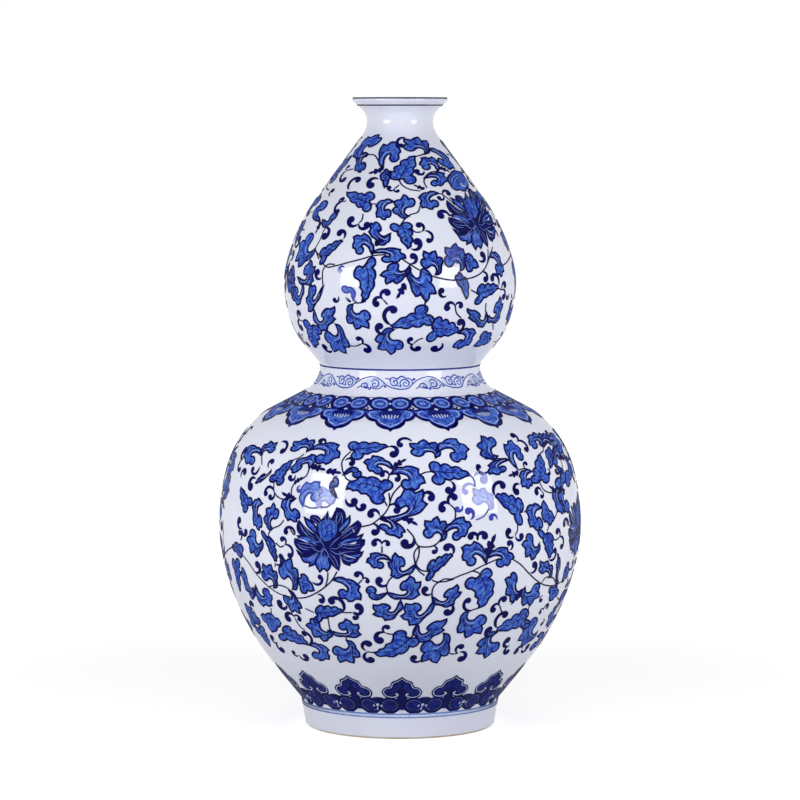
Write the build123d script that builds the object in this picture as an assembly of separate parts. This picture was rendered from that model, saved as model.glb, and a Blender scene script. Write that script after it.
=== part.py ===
"""Double gourd vase in blue-and-white porcelain, in millimetres, standing on Z = 0 with its axis on Z.

The vase is thrown in five sections that are luted together with slip, and glazed over inside and out. Its half
section is one closed loop of circles, each joined to the next by the line that touches both, like a belt round
pulleys. The loop is the glazed surface. The clay is the same loop one glaze thickness further in, so the coats
and the clay always meet. Heights are stacked from the foot up, and a circle between two fixed places takes the
radius that leaves a straight stretch of a named length before the next one.
"""
import os
from math import acos, atan, atan2, cos, pi, radians, sin, sqrt, tan

from build123d import *

# Foot ring, turned in one with the base
foot_radius = 54.6
foot_ring_width = 7.0
foot_edge_round = 1.5
foot_spread = 2.2
foot_root_height = 15.2
foot_root_round = 2.6
recess_height = 10.5
recess_round = 4.0

# Lower bulb: its widest place, and its profile from the foot up to the waist
belly_height = 116.6
belly_radius = 103.8
foot_flank_run = 23.7
foot_flank_lean_share = 0.51
lower_belly_radius = 96.6
upper_belly_radius = 122.6
upper_belly_lean_share = 0.4145
shoulder_edge_radius = 11.5
shoulder_edge_lean_share = 2.082
collar_run = 25.0

# Waist, where the upper bulb sits in the collar of the lower one
waist_rise = 90.2
waist_radius = 45.9
waist_collar_radius = 15.5
waist_crease_radius = 4.1

# Upper bulb: its widest place, and its profile from the waist up to the neck
bulb_rise = 47.9
bulb_radius = 66.2
bulb_base_run = 15.6
bulb_base_radius = 26.0
bulb_base_lean_share = 1.171
upper_bulb_radius = 45.7
upper_bulb_lean_share = 0.492
neck_run = 43.2

# Neck and mouth
neck_rise = 91.5
neck_radius = 18.8
neck_root_radius = 12.1
mouth_rise = 13.8
mouth_radius = 27.1
lip_run = 6.4
lip_face = 1.5
lip_top_round = 1.2
lip_under_round = 1.0
lip_inner_round = 2.0

# Walls
glaze_thickness = 0.4
clay_thickness = 4.6
base_thickness = 8.0
floor_round = 12.0

# Luted joints: each edge has a raised middle that seats in the groove of the next one, with slip between
slip_thickness = 0.8
joint_ridge = 1.2
neck_joint_share = 0.7
cut_overrun = 2.0

# What follows from the sizes above
waist_height = belly_height + waist_rise
bulb_height = waist_height + bulb_rise
neck_height = bulb_height + neck_rise
height = neck_height + mouth_rise
wall_thickness = clay_thickness + 2 * glaze_thickness
foot_corner_radius = foot_edge_round + glaze_thickness
foot_root_radius = foot_radius + foot_spread
least_edge = glaze_thickness / 1000
least_turn = radians(0.01)


def toward(angle):
    """The unit vector at an angle above the horizontal, in radians."""
    return Vector(cos(angle), sin(angle))


def circle(across, up, radius):
    """A circle of the outline. Its radius is above zero where the clay lies inside it, and below where outside."""
    return Vector(across, up), radius


def next_circle(last, radius, angle):
    """The circle that carries on from the last one, turning with it where the outward normal has that angle."""
    centre, last_radius = last
    return centre + toward(angle) * (last_radius - radius), radius


def circle_before(target, run, last, angle):
    """The circle that carries on from the last one and leaves a straight stretch, as long as the run, before
    the target. Its radius follows from the right triangle of that stretch and the two circles' centres."""
    gap = target[0] - last[0]
    way = toward(angle)
    rest = run ** 2 + target[1] ** 2 - (gap - way * last[1]).length ** 2
    return next_circle(last, rest / (2 * (gap.dot(way) - last[1] + target[1])), angle)


def circles_before(target, run, last, angle, end_radius, end_angle):
    """Two circles that carry on from the last one, of which the second has a radius of its own and leaves a
    straight stretch before the target. The first one's radius is the lower root of that triangle's equation."""
    way, end_way = toward(angle), toward(end_angle)
    turn = end_way - way
    gap = target[0] - (last[0] + way * last[1] - end_way * end_radius)
    reach = run ** 2 + (end_radius - target[1]) ** 2
    middle = gap.dot(turn)
    root = sqrt(middle ** 2 - turn.length ** 2 * (gap.length ** 2 - reach))
    first = next_circle(last, (middle - root) / turn.length ** 2, angle)
    return first, next_circle(first, end_radius, end_angle)


def leaning(share, wide, narrow):
    """The angle of the outward normal where the outline leans so many times as much as the straight line from
    a widest place to the narrow place above or below it."""
    return atan(share * (wide.X - narrow.X) / (narrow.Y - wide.Y))


def normal_between(first, second):
    """The angle of the outward normal on the line that touches two circles, with the clay on its left."""
    gap = second[0] - first[0]
    share = (first[1] - second[1]) / gap.length
    return atan2(gap.Y, gap.X) - acos(max(-1, min(1, share)))


def on_circle(one, angle, depth):
    """The point of a circle at the given angle of the outward normal, moved into the clay by the depth."""
    return one[0] + toward(angle) * (one[1] - depth)


def outer_circles():
    """The outside of the vase, from the foot's outer edge up to the lip's top edge."""
    foot = Vector(foot_root_radius, foot_root_height)
    belly = Vector(belly_radius, belly_height)
    waist = Vector(waist_radius, waist_height)
    bulb = Vector(bulb_radius, bulb_height)
    neck = Vector(neck_radius, neck_height)
    foot_edge = circle(foot_radius - foot_corner_radius, foot_edge_round, foot_corner_radius)
    foot_root = circle(foot_root_radius + foot_root_round, foot_root_height, -foot_root_round)
    lower_belly = circle(belly_radius - lower_belly_radius, belly_height, lower_belly_radius)
    foot_flank = circle_before(
        foot_root, foot_flank_run, lower_belly, leaning(foot_flank_lean_share, belly, foot))
    upper_belly = circle(belly_radius - upper_belly_radius, belly_height, upper_belly_radius)
    waist_collar = circle(waist_radius + waist_collar_radius, waist_height, -waist_collar_radius)
    lower_shoulder, shoulder_edge = circles_before(
        waist_collar, collar_run, upper_belly, leaning(upper_belly_lean_share, belly, waist),
        shoulder_edge_radius, leaning(shoulder_edge_lean_share, belly, waist))
    waist_crease = circle(waist_radius + waist_crease_radius, waist_height, -waist_crease_radius)
    widest = circle(bulb_radius, bulb_height, 0)
    lower_bulb, bulb_base = circles_before(
        waist_crease, bulb_base_run, widest, 0, bulb_base_radius, leaning(bulb_base_lean_share, bulb, waist))
    upper_bulb = circle(bulb_radius - upper_bulb_radius, bulb_height, upper_bulb_radius)
    neck_root = circle(neck_radius + neck_root_radius, neck_height, -neck_root_radius)
    upper_shoulder = circle_before(
        neck_root, neck_run, upper_bulb, leaning(upper_bulb_lean_share, bulb, neck))
    lip_under = circle(mouth_radius - lip_under_round, height - lip_face, lip_under_round)
    return {
        "foot_edge": foot_edge,
        "foot_root": foot_root,
        "foot_flank": foot_flank,
        "lower_belly": lower_belly,
        "upper_belly": upper_belly,
        "lower_shoulder": lower_shoulder,
        "shoulder_edge": shoulder_edge,
        "waist_collar": waist_collar,
        "waist_crease": waist_crease,
        "bulb_base": bulb_base,
        "lower_bulb": lower_bulb,
        "upper_bulb": upper_bulb,
        "upper_shoulder": upper_shoulder,
        "neck_root": neck_root,
        "neck_flare": circle_before(lip_under, lip_run, neck_root, 0),
        "lip_under": lip_under,
        "lip_top": circle(mouth_radius - lip_top_round, height - lip_top_round, lip_top_round),
    }


def circle_inside(one, angle, up, radius):
    """The circle at the given height that touches the inner face of the wall on the straight stretch where the
    outline leaves one circle with the given normal."""
    start = on_circle(one, angle, wall_thickness)
    return circle(start.X - (up - start.Y) * tan(angle) + radius / cos(angle), up, radius)


def inner_circles(outer):
    """The inside of the vase, from the lip's inner edge down to the middle of the floor: the outer wall from
    neck to foot, one wall thickness in, with an edge of its own at the mouth and a round corner at the floor."""
    lip_slope = normal_between(outer["neck_flare"], outer["lip_under"])
    lip = circle_inside(outer["neck_flare"], lip_slope, height - lip_inner_round, lip_inner_round)
    names = list(outer)
    wall = names[names.index("foot_flank"):names.index("neck_flare") + 1]
    inside = [(outer[name][0], wall_thickness - outer[name][1]) for name in reversed(wall)]
    floor_slope = normal_between(outer["foot_root"], outer["foot_flank"])
    floor_height = recess_height + base_thickness + floor_round
    corner = circle_inside(outer["foot_flank"], floor_slope, floor_height, -floor_round)
    return [lip] + inside + [corner, circle(0, floor_height, -floor_round)]


def recess_circles():
    """The hollow under the base: its middle, its corner, and the inner edge of the foot ring."""
    ring_radius = foot_radius - foot_ring_width
    corner_height = recess_height - recess_round
    return [
        circle(0, corner_height, -recess_round),
        circle(ring_radius - recess_round, corner_height, -recess_round),
        circle(ring_radius + foot_corner_radius, foot_edge_round, foot_corner_radius),
    ]


def path(circles, start, end, depth):
    """The edges along the circles, from one outward normal to another, moved into the clay by the depth."""
    turns = [start] + [normal_between(a, b) for a, b in zip(circles, circles[1:])] + [end]
    edges = []
    last = on_circle(circles[0], start, depth)
    for one, begin, stop in zip(circles, turns, turns[1:]):
        sweep = (stop - begin + pi) % (2 * pi) - pi
        arrival = on_circle(one, begin, depth)
        if (arrival - last).length > least_edge:
            edges.append(Line(last, arrival))
            last = arrival
        if abs(sweep) > least_turn:
            leave = on_circle(one, begin + sweep, depth)
            edges.append(ThreePointArc(last, on_circle(one, begin + sweep / 2, depth), leave))
            last = leave
    return edges


def half_section(circles, depth):
    """The face inside the whole loop, moved into the clay by the depth and closed along the axis."""
    edges = path(circles, -pi / 2, pi / 2, depth)
    return make_face(edges + [Line(edges[-1] @ 1, edges[0] @ 0)])


def coat(circles, start, end):
    """The glaze on one stretch of the loop, between the outer surface and the clay."""
    skin = path(circles, start, end, 0)
    under = path(circles, start, end, glaze_thickness)
    ends = [Line(skin[0] @ 0, under[0] @ 0), Line(skin[-1] @ 1, under[-1] @ 1)]
    return make_face(skin + under + ends)


def joint_band(middle, angle):
    """The slip of one joint across the wall: a ridge at the wall's middle, square to the outward normal."""
    edge = toward(angle) * (wall_thickness / 2)
    past = toward(angle) * (wall_thickness / 2 + cut_overrun)
    along = toward(angle + pi / 2)
    centre_line = [past, edge, along * joint_ridge, -edge, -past]
    lower = [middle + point - along * (slip_thickness / 2) for point in centre_line]
    upper = [middle + point + along * (slip_thickness / 2) for point in reversed(centre_line)]
    return make_face(Polyline(*lower, *upper, close=True))


def joint_bands(outer):
    """The four joints, from the belly up to the neck, each at the middle of the wall."""
    middle = wall_thickness / 2
    shoulder, root = outer["upper_shoulder"], outer["neck_root"]
    slope = normal_between(shoulder, root)
    low, high = on_circle(shoulder, slope, middle), on_circle(root, slope, middle)
    return {
        "belly_luting_joint": joint_band(on_circle(outer["upper_belly"], 0, middle), 0),
        "waist_luting_joint": joint_band(on_circle(outer["waist_collar"], 0, middle), 0),
        "bulb_luting_joint": joint_band(on_circle(outer["upper_bulb"], 0, middle), 0),
        "neck_luting_joint": joint_band(low + (high - low) * neck_joint_share, slope),
    }


def clay_faces(clay, bands):
    """The thrown sections and the slip between them, as faces of the half section."""
    faces = {name: clay & band for name, band in bands.items()}
    sections = clay - list(bands.values())
    names = ["base_and_foot", "lower_bulb_shoulder", "waist_and_upper_bulb_base", "upper_bulb_shoulder",
             "neck_and_mouth"]
    faces.update(zip(names, sorted(sections.faces(), key=lambda face: face.center().Y)))
    return faces


def glaze_faces(outside, inside, recess):
    """The three coats of glaze. They stop where the bare edge of the foot ring starts to round."""
    lip_crest = inside[0]
    foot_edge, foot_root = outside[:2]
    return {
        "outer_glaze": coat(outside + [lip_crest], normal_between(foot_edge, foot_root), pi / 2),
        "inner_glaze": coat(inside, pi / 2, pi / 2),
        "foot_recess_glaze": coat(recess, -pi / 2, -pi),
    }


outer = outer_circles()
outside = list(outer.values())
inside = inner_circles(outer)
recess = recess_circles()
clay = half_section(recess + outside + inside, glaze_thickness)
nodes = clay_faces(clay, joint_bands(outer))
nodes.update(glaze_faces(outside, inside, recess))

os.makedirs("parts", exist_ok=True)
for name, face in nodes.items():
    solid = revolve(Plane.XZ * face, Axis.Z, 360)
    export_step(solid, "parts/" + name + ".step")
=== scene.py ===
from collections import namedtuple
from math import atan2, ceil, cos, hypot, pi, radians, sin, sqrt, tau

import bpy
import numpy as np
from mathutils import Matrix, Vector
from mathutils.geometry import delaunay_2d_cdt


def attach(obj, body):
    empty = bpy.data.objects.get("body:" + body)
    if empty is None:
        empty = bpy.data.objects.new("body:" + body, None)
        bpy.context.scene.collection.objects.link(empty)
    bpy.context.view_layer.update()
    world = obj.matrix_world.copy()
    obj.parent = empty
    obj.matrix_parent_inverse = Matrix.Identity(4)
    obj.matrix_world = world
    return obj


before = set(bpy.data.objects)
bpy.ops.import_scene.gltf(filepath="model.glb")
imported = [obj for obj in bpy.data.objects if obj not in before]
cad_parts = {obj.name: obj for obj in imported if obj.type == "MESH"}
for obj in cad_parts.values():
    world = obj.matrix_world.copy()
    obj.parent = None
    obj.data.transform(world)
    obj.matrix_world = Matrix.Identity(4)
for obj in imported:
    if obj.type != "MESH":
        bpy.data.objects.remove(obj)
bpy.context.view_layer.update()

MM = 0.001

# The photograph's camera: its eye, downward pitch, and focal length in pixels of the square picture
EYE = (0.0, -1.95, 0.35)
PITCH = radians(4.778)
FOCAL_PX = 3411.45
PHOTO_PX = 800
SENSOR_MM = 36.0
CLIP_START = 0.05
# A line of sight is followed from just before the vase to just behind its axis
SIGHT_START = -0.11
SIGHT_END = 0.02
SIGHT_STEPS = 521

# The painting's layers: how high the lowest lies on the glaze, and each next one on the last
LOWEST_COAT = 0.10 * MM
LAYER = 0.012 * MM
# How many layers each tone lies above the rise that its mark asks for
TONE_RISE = {"tint": 0, "pen": 2, "wash": 0, "shade": 1, "line": 2, "light": 3, "sky": 2, "navy": 1}

# Brush strokes, each by its widths in millimetres from its start to its end
OUTLINE = (1.12,)
STEM = (0.82,)
STRAIGHT_RIB = (0.56, 0.56, 0.15)
BOWED_RIB = (0.3, 0.64, 0.15)
MAIN_VEIN = (0.6, 0.15)
VEIN = (0.56, 0.15)
SIDE_VEIN = (0.46, 0.16)
FINE_VEIN = (0.48, 0.12)
FINER_VEIN = (0.44, 0.12)
BUD_LINE = (0.4, 0.24)
GLEAM = (0.12, 0.26, 0.12)
PETAL_VEIN = (0.1, 0.3, 0.1)
# How far the brush swells a leaf, in the motif's own units
BRUSH_SWELL = 0.05
# Where the lotus's petals meet, and how far a petal's pale veins lie to each side of its middle, in its units
LOTUS_MIDDLE = (0.0, 0.5)
PETAL_VEIN_GAP = 0.17
# Where a ribbon turns sharply, its mitre is no wider than its width divided by this
MITRE_SHARE = 0.45

# How finely marks are divided: a motif's in its own units, and what runs along the skin in metres
STROKE_STEP = 0.09
FILL_STEP = 0.17
FILL_MARGIN_SHARE = 0.45
PATH_STEP = 1.3 * MM
OUTLINE_STEP = 0.7 * MM
SAME_SPOT = 0.03 * MM
RING_POINTS = 121
# What counts as nothing: a length, a unit's reach on the skin, the sum of two opposite ways, and a gap
# between a fill's corners
TINY = 1e-12
NO_REACH = 1e-9
OPPOSITE_WAYS = 1e-6
SAME_CORNER = 1e-7

# The roughness of the glaze and of the ground under it, and how much of the glaze's shine is seen over white
# clay, over cobalt, and over the cobalt that lies under a reflection
GLAZE_ROUGHNESS = 0.032
GROUND_ROUGHNESS = 0.4
CLAY_SHINE = 0.6
COBALT_SHINE = 0.13
GLOSSY_SHINE = 1.0

# The colours of the glaze where it is thin, where it has pooled, and of its specks
THIN_GLAZE = (228, 231, 245)
POOLED_GLAZE = (222, 225, 242)
GLAZE_SPECK = (196, 200, 222)
# The colours of the bare clay, its tan bloom and its dark grains, and of the slip
PALE_CLAY = (225, 214, 196)
TAN_BLOOM = (204, 182, 150)
DARK_GRAIN = (168, 148, 122)
PALE_SLIP = (222, 212, 196)
DARK_SLIP = (205, 192, 172)
# How many of each come to a metre
GLAZE_SWELLS = 55
GLAZE_RIPPLES = 210
GLAZE_POOLS = 14
GLAZE_SPECKS = 900
CLAY_GRAINS = 1800
CLAY_BLOOMS = 60
SLIP_GRAINS = 1200

# Each tone of cobalt: its colour where it is thin and where the brush left more, and its clouds to a metre
COBALTS = {
    "tint": ((214, 224, 244), (190, 206, 238), 300),
    "wash": ((84, 128, 216), (26, 50, 176), 420),
    "shade": ((24, 44, 140), (6, 10, 90), 500),
    "line": ((6, 8, 92), (1, 2, 54), 300),
    "pen": ((62, 74, 180), (30, 38, 144), 300),
    "navy": ((8, 12, 108), (1, 2, 60), 300),
    "light": ((214, 222, 246), (176, 192, 238), 400),
    "sky": ((126, 152, 216), (98, 124, 200), 200),
}
# Painted highlight: the same for the cobalt under the lamps' reflections, painted paler to stand for them
PAINTED_HIGHLIGHT_COBALTS = {
    "wash": ((112, 152, 230), (58, 94, 208), 420),
    "line": ((52, 70, 180), (34, 48, 156), 300),
    "navy": ((40, 60, 184), (24, 40, 160), 300),
    "light": ((214, 222, 246), (176, 192, 238), 400),
}

# Each lamp: its place, its width and height in metres, and its power in watts
LAMPS = {
    "left_softbox": ((-0.46, -0.44, 0.33), (0.28, 0.28), 2.1),
    "right_softbox": ((0.48, -0.42, 0.33), (0.26, 0.28), 2.0),
}
# The place that the lamps point at, and the strength of the soft light from all round
LAMP_TARGET = (0, -0.02, 0.2)
WORLD_LIGHT = 0.34

# The floor: its greys under the lamps and as it is seen, and the white that it adds near the vase, where its
# shadow is kept, and far out, where nothing is seen of it
FLOOR_REACH = 3
FLOOR_GREY = (0.68, 0.68, 0.68, 1)
SEEN_GREY = (0.65, 0.65, 0.65, 1)
NEAR_GLOW = (0.66, 0.66, 0.66, 1)
FAR_GLOW = (1.0, 1.0, 1.0, 1)
GLOW_START = 0.2
GLOW_END = 0.8


class Wire:
    """One socket of a node tree. An expression on wires adds the Math nodes that work it out."""

    def __init__(self, socket):
        self.socket = socket
        self.tree = socket.id_data

    def math(self, operation, *others):
        """What a Math node makes of this wire and others."""
        return calculated(self.tree, operation, self, *others)

    def __add__(self, other):
        return self.math("ADD", other)

    def __sub__(self, other):
        return self.math("SUBTRACT", other)

    def __mul__(self, other):
        return self.math("MULTIPLY", other)

    def __truediv__(self, other):
        return self.math("DIVIDE", other)

    def __rsub__(self, other):
        return calculated(self.tree, "SUBTRACT", other, self)

    def __rtruediv__(self, other):
        return calculated(self.tree, "DIVIDE", other, self)

    def __neg__(self):
        return self.math("MULTIPLY", -1)

    __radd__ = __add__
    __rmul__ = __mul__

    def stepped(self, low, high):
        """Runs smoothly from 0 where the value is low to 1 where it is high."""
        values = {"Value": self, "From Min": low, "From Max": high}
        settings = {"interpolation_type": "SMOOTHSTEP"}
        return node(self.tree, "ShaderNodeMapRange", settings, values)["Result"]

    def parts(self):
        """The three numbers of a vector."""
        split = node(self.tree, "ShaderNodeSeparateXYZ", {}, {"Vector": self})
        return split["X"], split["Y"], split["Z"]


def socket_named(sockets, key):
    """A node's socket by its place in the list, or by its name among those that are in use."""
    if isinstance(key, int):
        return sockets[key]
    return [socket for socket in sockets if socket.name == key and socket.enabled][0]


def node(tree, kind, settings, values):
    """Adds a node to a tree and returns its outputs by name. The settings come first, then each socket gets
    its value or its links."""
    made = tree.nodes.new(kind)
    for name, value in settings.items():
        setattr(made, name, value)
    for key, value in values.items():
        socket = socket_named(made.inputs, key)
        if isinstance(value, Wire):
            tree.links.new(value.socket, socket)
        elif isinstance(value, list):
            for wire in value:
                tree.links.new(wire.socket, socket)
        else:
            socket.default_value = value
    return {socket.name: Wire(socket) for socket in made.outputs if socket.enabled}


def calculated(tree, operation, *values):
    """What a Math node makes of some wires and numbers."""
    return node(tree, "ShaderNodeMath", {"operation": operation}, dict(enumerate(values)))["Value"]


def vector(tree, x, y, z):
    """A vector from three wires or numbers."""
    return node(tree, "ShaderNodeCombineXYZ", {}, {"X": x, "Y": y, "Z": z})["Vector"]


def blended(tree, share, first, second):
    """A colour from the first to the second."""
    values = {"Factor": share, "A": first, "B": second}
    return node(tree, "ShaderNodeMix", {"data_type": "RGBA"}, values)["Result"]


def linear(colour):
    """A colour given as it is read off a picture, from 0 to 255, in the values that a shader takes."""
    shares = [value / 255 for value in colour]
    return tuple(c / 12.92 if c <= 0.04045 else ((c + 0.055) / 1.055) ** 2.4 for c in shares) + (1.0,)


def new_material(name):
    """An empty material and its node tree."""
    material = bpy.data.materials.new(name)
    material.use_nodes = True
    material.node_tree.nodes.clear()
    return material, material.node_tree


def finish_material(tree, values):
    """Ends a material in one glossy or matt shader with the given values."""
    shader = node(tree, "ShaderNodeBsdfPrincipled", {}, values)["BSDF"]
    node(tree, "ShaderNodeOutputMaterial", {}, {"Surface": shader})


def noise(tree, scale, detail=2.0, roughness=0.5):
    """Cloudy noise from 0 to 1 on the piece's own coordinates, with so many clouds to a metre."""
    place = node(tree, "ShaderNodeTexCoord", {}, {})["Object"]
    values = {"Vector": place, "Scale": scale, "Detail": detail, "Roughness": roughness}
    return node(tree, "ShaderNodeTexNoise", {}, values)["Fac"]


def bump(tree, height, strength, distance):
    """A surface's small relief."""
    values = {"Height": height, "Strength": strength, "Distance": distance}
    return node(tree, "ShaderNodeBump", {}, values)["Normal"]


def finish_under_glaze(tree, colour, shine):
    """Ends a material in a matt ground of the colour under a clear glaze, whose slow unevenness makes its
    reflections swim a little."""
    swell = noise(tree, GLAZE_SWELLS, detail=1.0) * 0.8 + noise(tree, GLAZE_RIPPLES, detail=1.0) * 0.2
    finish_material(tree, {
        "Base Color": colour,
        "Roughness": GROUND_ROUGHNESS,
        "Specular IOR Level": 0.0,
        "Coat Weight": shine,
        "Coat Roughness": GLAZE_ROUGHNESS,
        "Normal": bump(tree, swell, strength=0.02, distance=4 * MM),
    })


def glaze_material():
    """Clear glaze over white porcelain: a faint blue cast that is deeper where the glaze has pooled."""
    material, tree = new_material("clear_glaze")
    pooled = noise(tree, GLAZE_POOLS, detail=3.0)
    specks = noise(tree, GLAZE_SPECKS, detail=1.0).stepped(0.73, 0.78)
    colour = blended(tree, pooled.stepped(0.3, 0.7), linear(THIN_GLAZE), linear(POOLED_GLAZE))
    colour = blended(tree, specks * 0.25, colour, linear(GLAZE_SPECK))
    finish_under_glaze(tree, colour, CLAY_SHINE)
    return material


def clay_material():
    """Bare fired porcelain on the rim of the foot: matt and grainy, with a tan bloom."""
    material, tree = new_material("porcelain_body")
    grain = noise(tree, CLAY_GRAINS, detail=3.0)
    bloom = noise(tree, CLAY_BLOOMS, detail=2.0).stepped(0.35, 0.7)
    colour = blended(tree, bloom, linear(PALE_CLAY), linear(TAN_BLOOM))
    colour = blended(tree, grain.stepped(0.55, 0.75) * 0.4, colour, linear(DARK_GRAIN))
    finish_material(tree, {
        "Base Color": colour,
        "Roughness": 0.55 + grain * 0.3,
        "Normal": bump(tree, grain, strength=0.25, distance=0.3 * MM),
    })
    return material


def slip_material():
    """Fired slip of the luted joints, inside the wall."""
    material, tree = new_material("slip")
    grain = noise(tree, SLIP_GRAINS, detail=3.0)
    colour = blended(tree, grain, linear(PALE_SLIP), linear(DARK_SLIP))
    finish_material(tree, {"Base Color": colour, "Roughness": 0.7 + grain * 0.2})
    return material


def cobalt_material(name, thin, deep, clouds_to_metre, shine):
    """Cobalt under the glaze, from a thin wash to where the brush left more of it."""
    material, tree = new_material(name)
    clouds = noise(tree, clouds_to_metre, detail=3.0, roughness=0.62)
    grain = noise(tree, clouds_to_metre * 4.3, detail=2.0, roughness=0.6)
    load = (clouds * 0.75 + grain * 0.25).stepped(0.36, 0.64)
    finish_under_glaze(tree, blended(tree, load, linear(thin), linear(deep)), shine)
    return material


def unit(rows):
    """Each row at length 1."""
    return rows / np.linalg.norm(rows, axis=-1, keepdims=True)


def glaze_outline():
    """The outer glaze's outline from foot to lip, as rows of radius and height, read from its node."""
    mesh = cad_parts["outer_glaze"].data
    places = np.array([vertex.co for vertex in mesh.vertices])
    outside = set()
    for face in mesh.polygons:
        if face.normal.xy.dot(face.center.xy) > 0:
            outside.update(face.vertices)
    rows = places[sorted(outside)]
    rows = np.column_stack((np.hypot(rows[:, 0], rows[:, 1]), rows[:, 2]))
    rows = rows[np.lexsort((rows[:, 0], rows[:, 1]))]
    kept = [rows[0]]
    for row in rows[1:]:
        if hypot(*(row - kept[-1])) > SAME_SPOT:
            kept.append(row)
    return np.array(kept)


def smooth_line(points, step, corners=(), closed=False, straight_ratio=3.0):
    """A smooth line through points, with its corners kept, as points no further apart than the step. Beside
    a stretch much longer than the one before it, the line takes the long stretch's direction."""
    points = np.asarray(points, float)
    count = len(points)
    chords = np.roll(points, -1, axis=0) - points
    lengths = np.maximum(np.linalg.norm(chords, axis=1), TINY)
    ways = chords / lengths[:, None]
    spans = count if closed else count - 1
    line = []
    for this in range(spans):
        following = (this + 1) % count
        before = (this - 1) % count
        length = lengths[this]
        start = end = ways[this]
        if this not in corners and (closed or this > 0):
            start = joined_way(ways[before], lengths[before], ways[this], length, straight_ratio)
        if following not in corners and (closed or following < count - 1):
            end = joined_way(ways[this], length, ways[following], lengths[following], straight_ratio)
        pieces = max(1, ceil(length / step))
        share = (np.arange(pieces) / pieces)[:, None]
        line.append(
            (2 * share**3 - 3 * share**2 + 1) * points[this]
            + (share**3 - 2 * share**2 + share) * start * length
            + (3 * share**2 - 2 * share**3) * points[following]
            + (share**3 - share**2) * end * length)
    if not closed:
        line.append(points[-1:])
    return np.concatenate(line)


def joined_way(first, first_length, second, second_length, straight_ratio):
    """The direction of a smooth line where two of its stretches meet."""
    if first_length > straight_ratio * second_length:
        return first
    if second_length > straight_ratio * first_length:
        return second
    way = first * second_length + second * first_length
    return way / max(np.linalg.norm(way), TINY)


class Skin:
    """The outer glaze's surface, unrolled: an angle around the axis from the front, and a length up the
    outline."""

    def __init__(self, outline):
        self.line = smooth_line(outline, OUTLINE_STEP)
        steps = np.linalg.norm(np.diff(self.line, axis=0), axis=1)
        self.lengths = np.concatenate(([0], np.cumsum(steps)))

    def radius(self, along):
        """How far the skin lies from the axis at a length up the outline."""
        return np.interp(along, self.lengths, self.line[:, 0])

    def along(self, height):
        """The length up the outline at a height."""
        return np.interp(height, self.line[:, 1], self.lengths)

    def seen_at(self, px, py):
        """The place on the skin that a pixel of the photograph shows, or the nearest to it where it shows
        none."""
        right, up = (px - PHOTO_PX / 2) / FOCAL_PX, (PHOTO_PX / 2 - py) / FOCAL_PX
        way = np.array((right, cos(PITCH) + up * sin(PITCH), -sin(PITCH) + up * cos(PITCH)))
        reach = (np.linspace(SIGHT_START, SIGHT_END, SIGHT_STEPS) - EYE[1]) / way[1]
        spots = np.array(EYE) + reach[:, None] * way
        outside = np.interp(spots[:, 2], self.line[:, 1], self.line[:, 0])
        gap = np.hypot(spots[:, 0], spots[:, 1]) - outside
        inside = np.flatnonzero(gap < 0)
        if len(inside) and inside[0] > 0:
            last = inside[0]
            share = gap[last - 1] / (gap[last - 1] - gap[last])
            spot = spots[last - 1] + (spots[last] - spots[last - 1]) * share
        else:
            spot = spots[np.argmin(gap)]
        return atan2(spot[0], -spot[1]), float(self.along(spot[2]))

    def offset(self, base, place):
        """How far a place lies from the base, to the right and up along the skin."""
        return np.array(((place[0] - base[0]) * self.radius(place[1]), place[1] - base[1]))


skin = Skin(glaze_outline())


def attribute(tree, name, kind="FLOAT"):
    """A number or vector that the flat meshes carry at each point."""
    return node(tree, "GeometryNodeInputNamedAttribute", {"data_type": kind}, {"Name": name})["Attribute"]


def roll_on(tree, geometry, outline):
    """Rolls flat shapes on to the vase. A shape's points are offsets from its own anchor, in units that its
    reach and spread carry to the surface. A stroke's edges lie half its width to each side of its line."""
    place = node(tree, "GeometryNodeInputPosition", {}, {})["Position"]
    x, y, _ = place.parts()
    heading_x, heading_y, _ = attribute(tree, "heading", "FLOAT_VECTOR").parts()
    reach_x, reach_y, _ = attribute(tree, "reach", "FLOAT_VECTOR").parts()
    spread_x, spread_y, _ = attribute(tree, "spread", "FLOAT_VECTOR").parts()
    way_x = reach_x * heading_x + spread_x * heading_y
    way_y = reach_y * heading_x + spread_y * heading_y
    way_length = (way_x * way_x + way_y * way_y).math("SQRT").math("MAXIMUM", NO_REACH)
    half = attribute(tree, "half") / way_length
    right = reach_x * x + spread_x * y - half * way_y
    up = reach_y * x + spread_y * y + half * way_x
    along = attribute(tree, "along") + up
    settings = {"mode": "LENGTH", "use_all_curves": True}
    sampled = node(tree, "GeometryNodeSampleCurve", settings, {"Curves": outline, "Length": along})
    radius, _, height = sampled["Position"].parts()
    lean, _, rise = sampled["Tangent"].parts()
    angle = attribute(tree, "around") + right / radius
    lift = attribute(tree, "lift")
    lifted = radius + lift * rise
    side, front = angle.math("SINE"), angle.math("COSINE")
    spot = vector(tree, lifted * side, -(lifted * front), height - lift * lean)
    outward = vector(tree, rise * side, -(rise * front), -lean)
    moved = node(tree, "GeometryNodeSetPosition", {}, {"Geometry": geometry, "Position": spot})["Geometry"]
    settings = {"data_type": "FLOAT_VECTOR", "domain": "POINT"}
    values = {"Geometry": moved, "Name": "outward", "Value": outward}
    kept = node(tree, "GeometryNodeStoreNamedAttribute", settings, values)["Geometry"]
    normal = node(tree, "GeometryNodeInputNormal", {}, {})["Normal"]
    values = {0: normal, 1: attribute(tree, "outward", "FLOAT_VECTOR")}
    facing = node(tree, "ShaderNodeVectorMath", {"operation": "DOT_PRODUCT"}, values)["Value"]
    values = {"A": facing, "B": 0.0}
    inward = node(tree, "FunctionNodeCompare", {"operation": "LESS_THAN"}, values)["Result"]
    return node(tree, "GeometryNodeFlipFaces", {}, {"Mesh": kept, "Selection": inward})["Mesh"]


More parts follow.
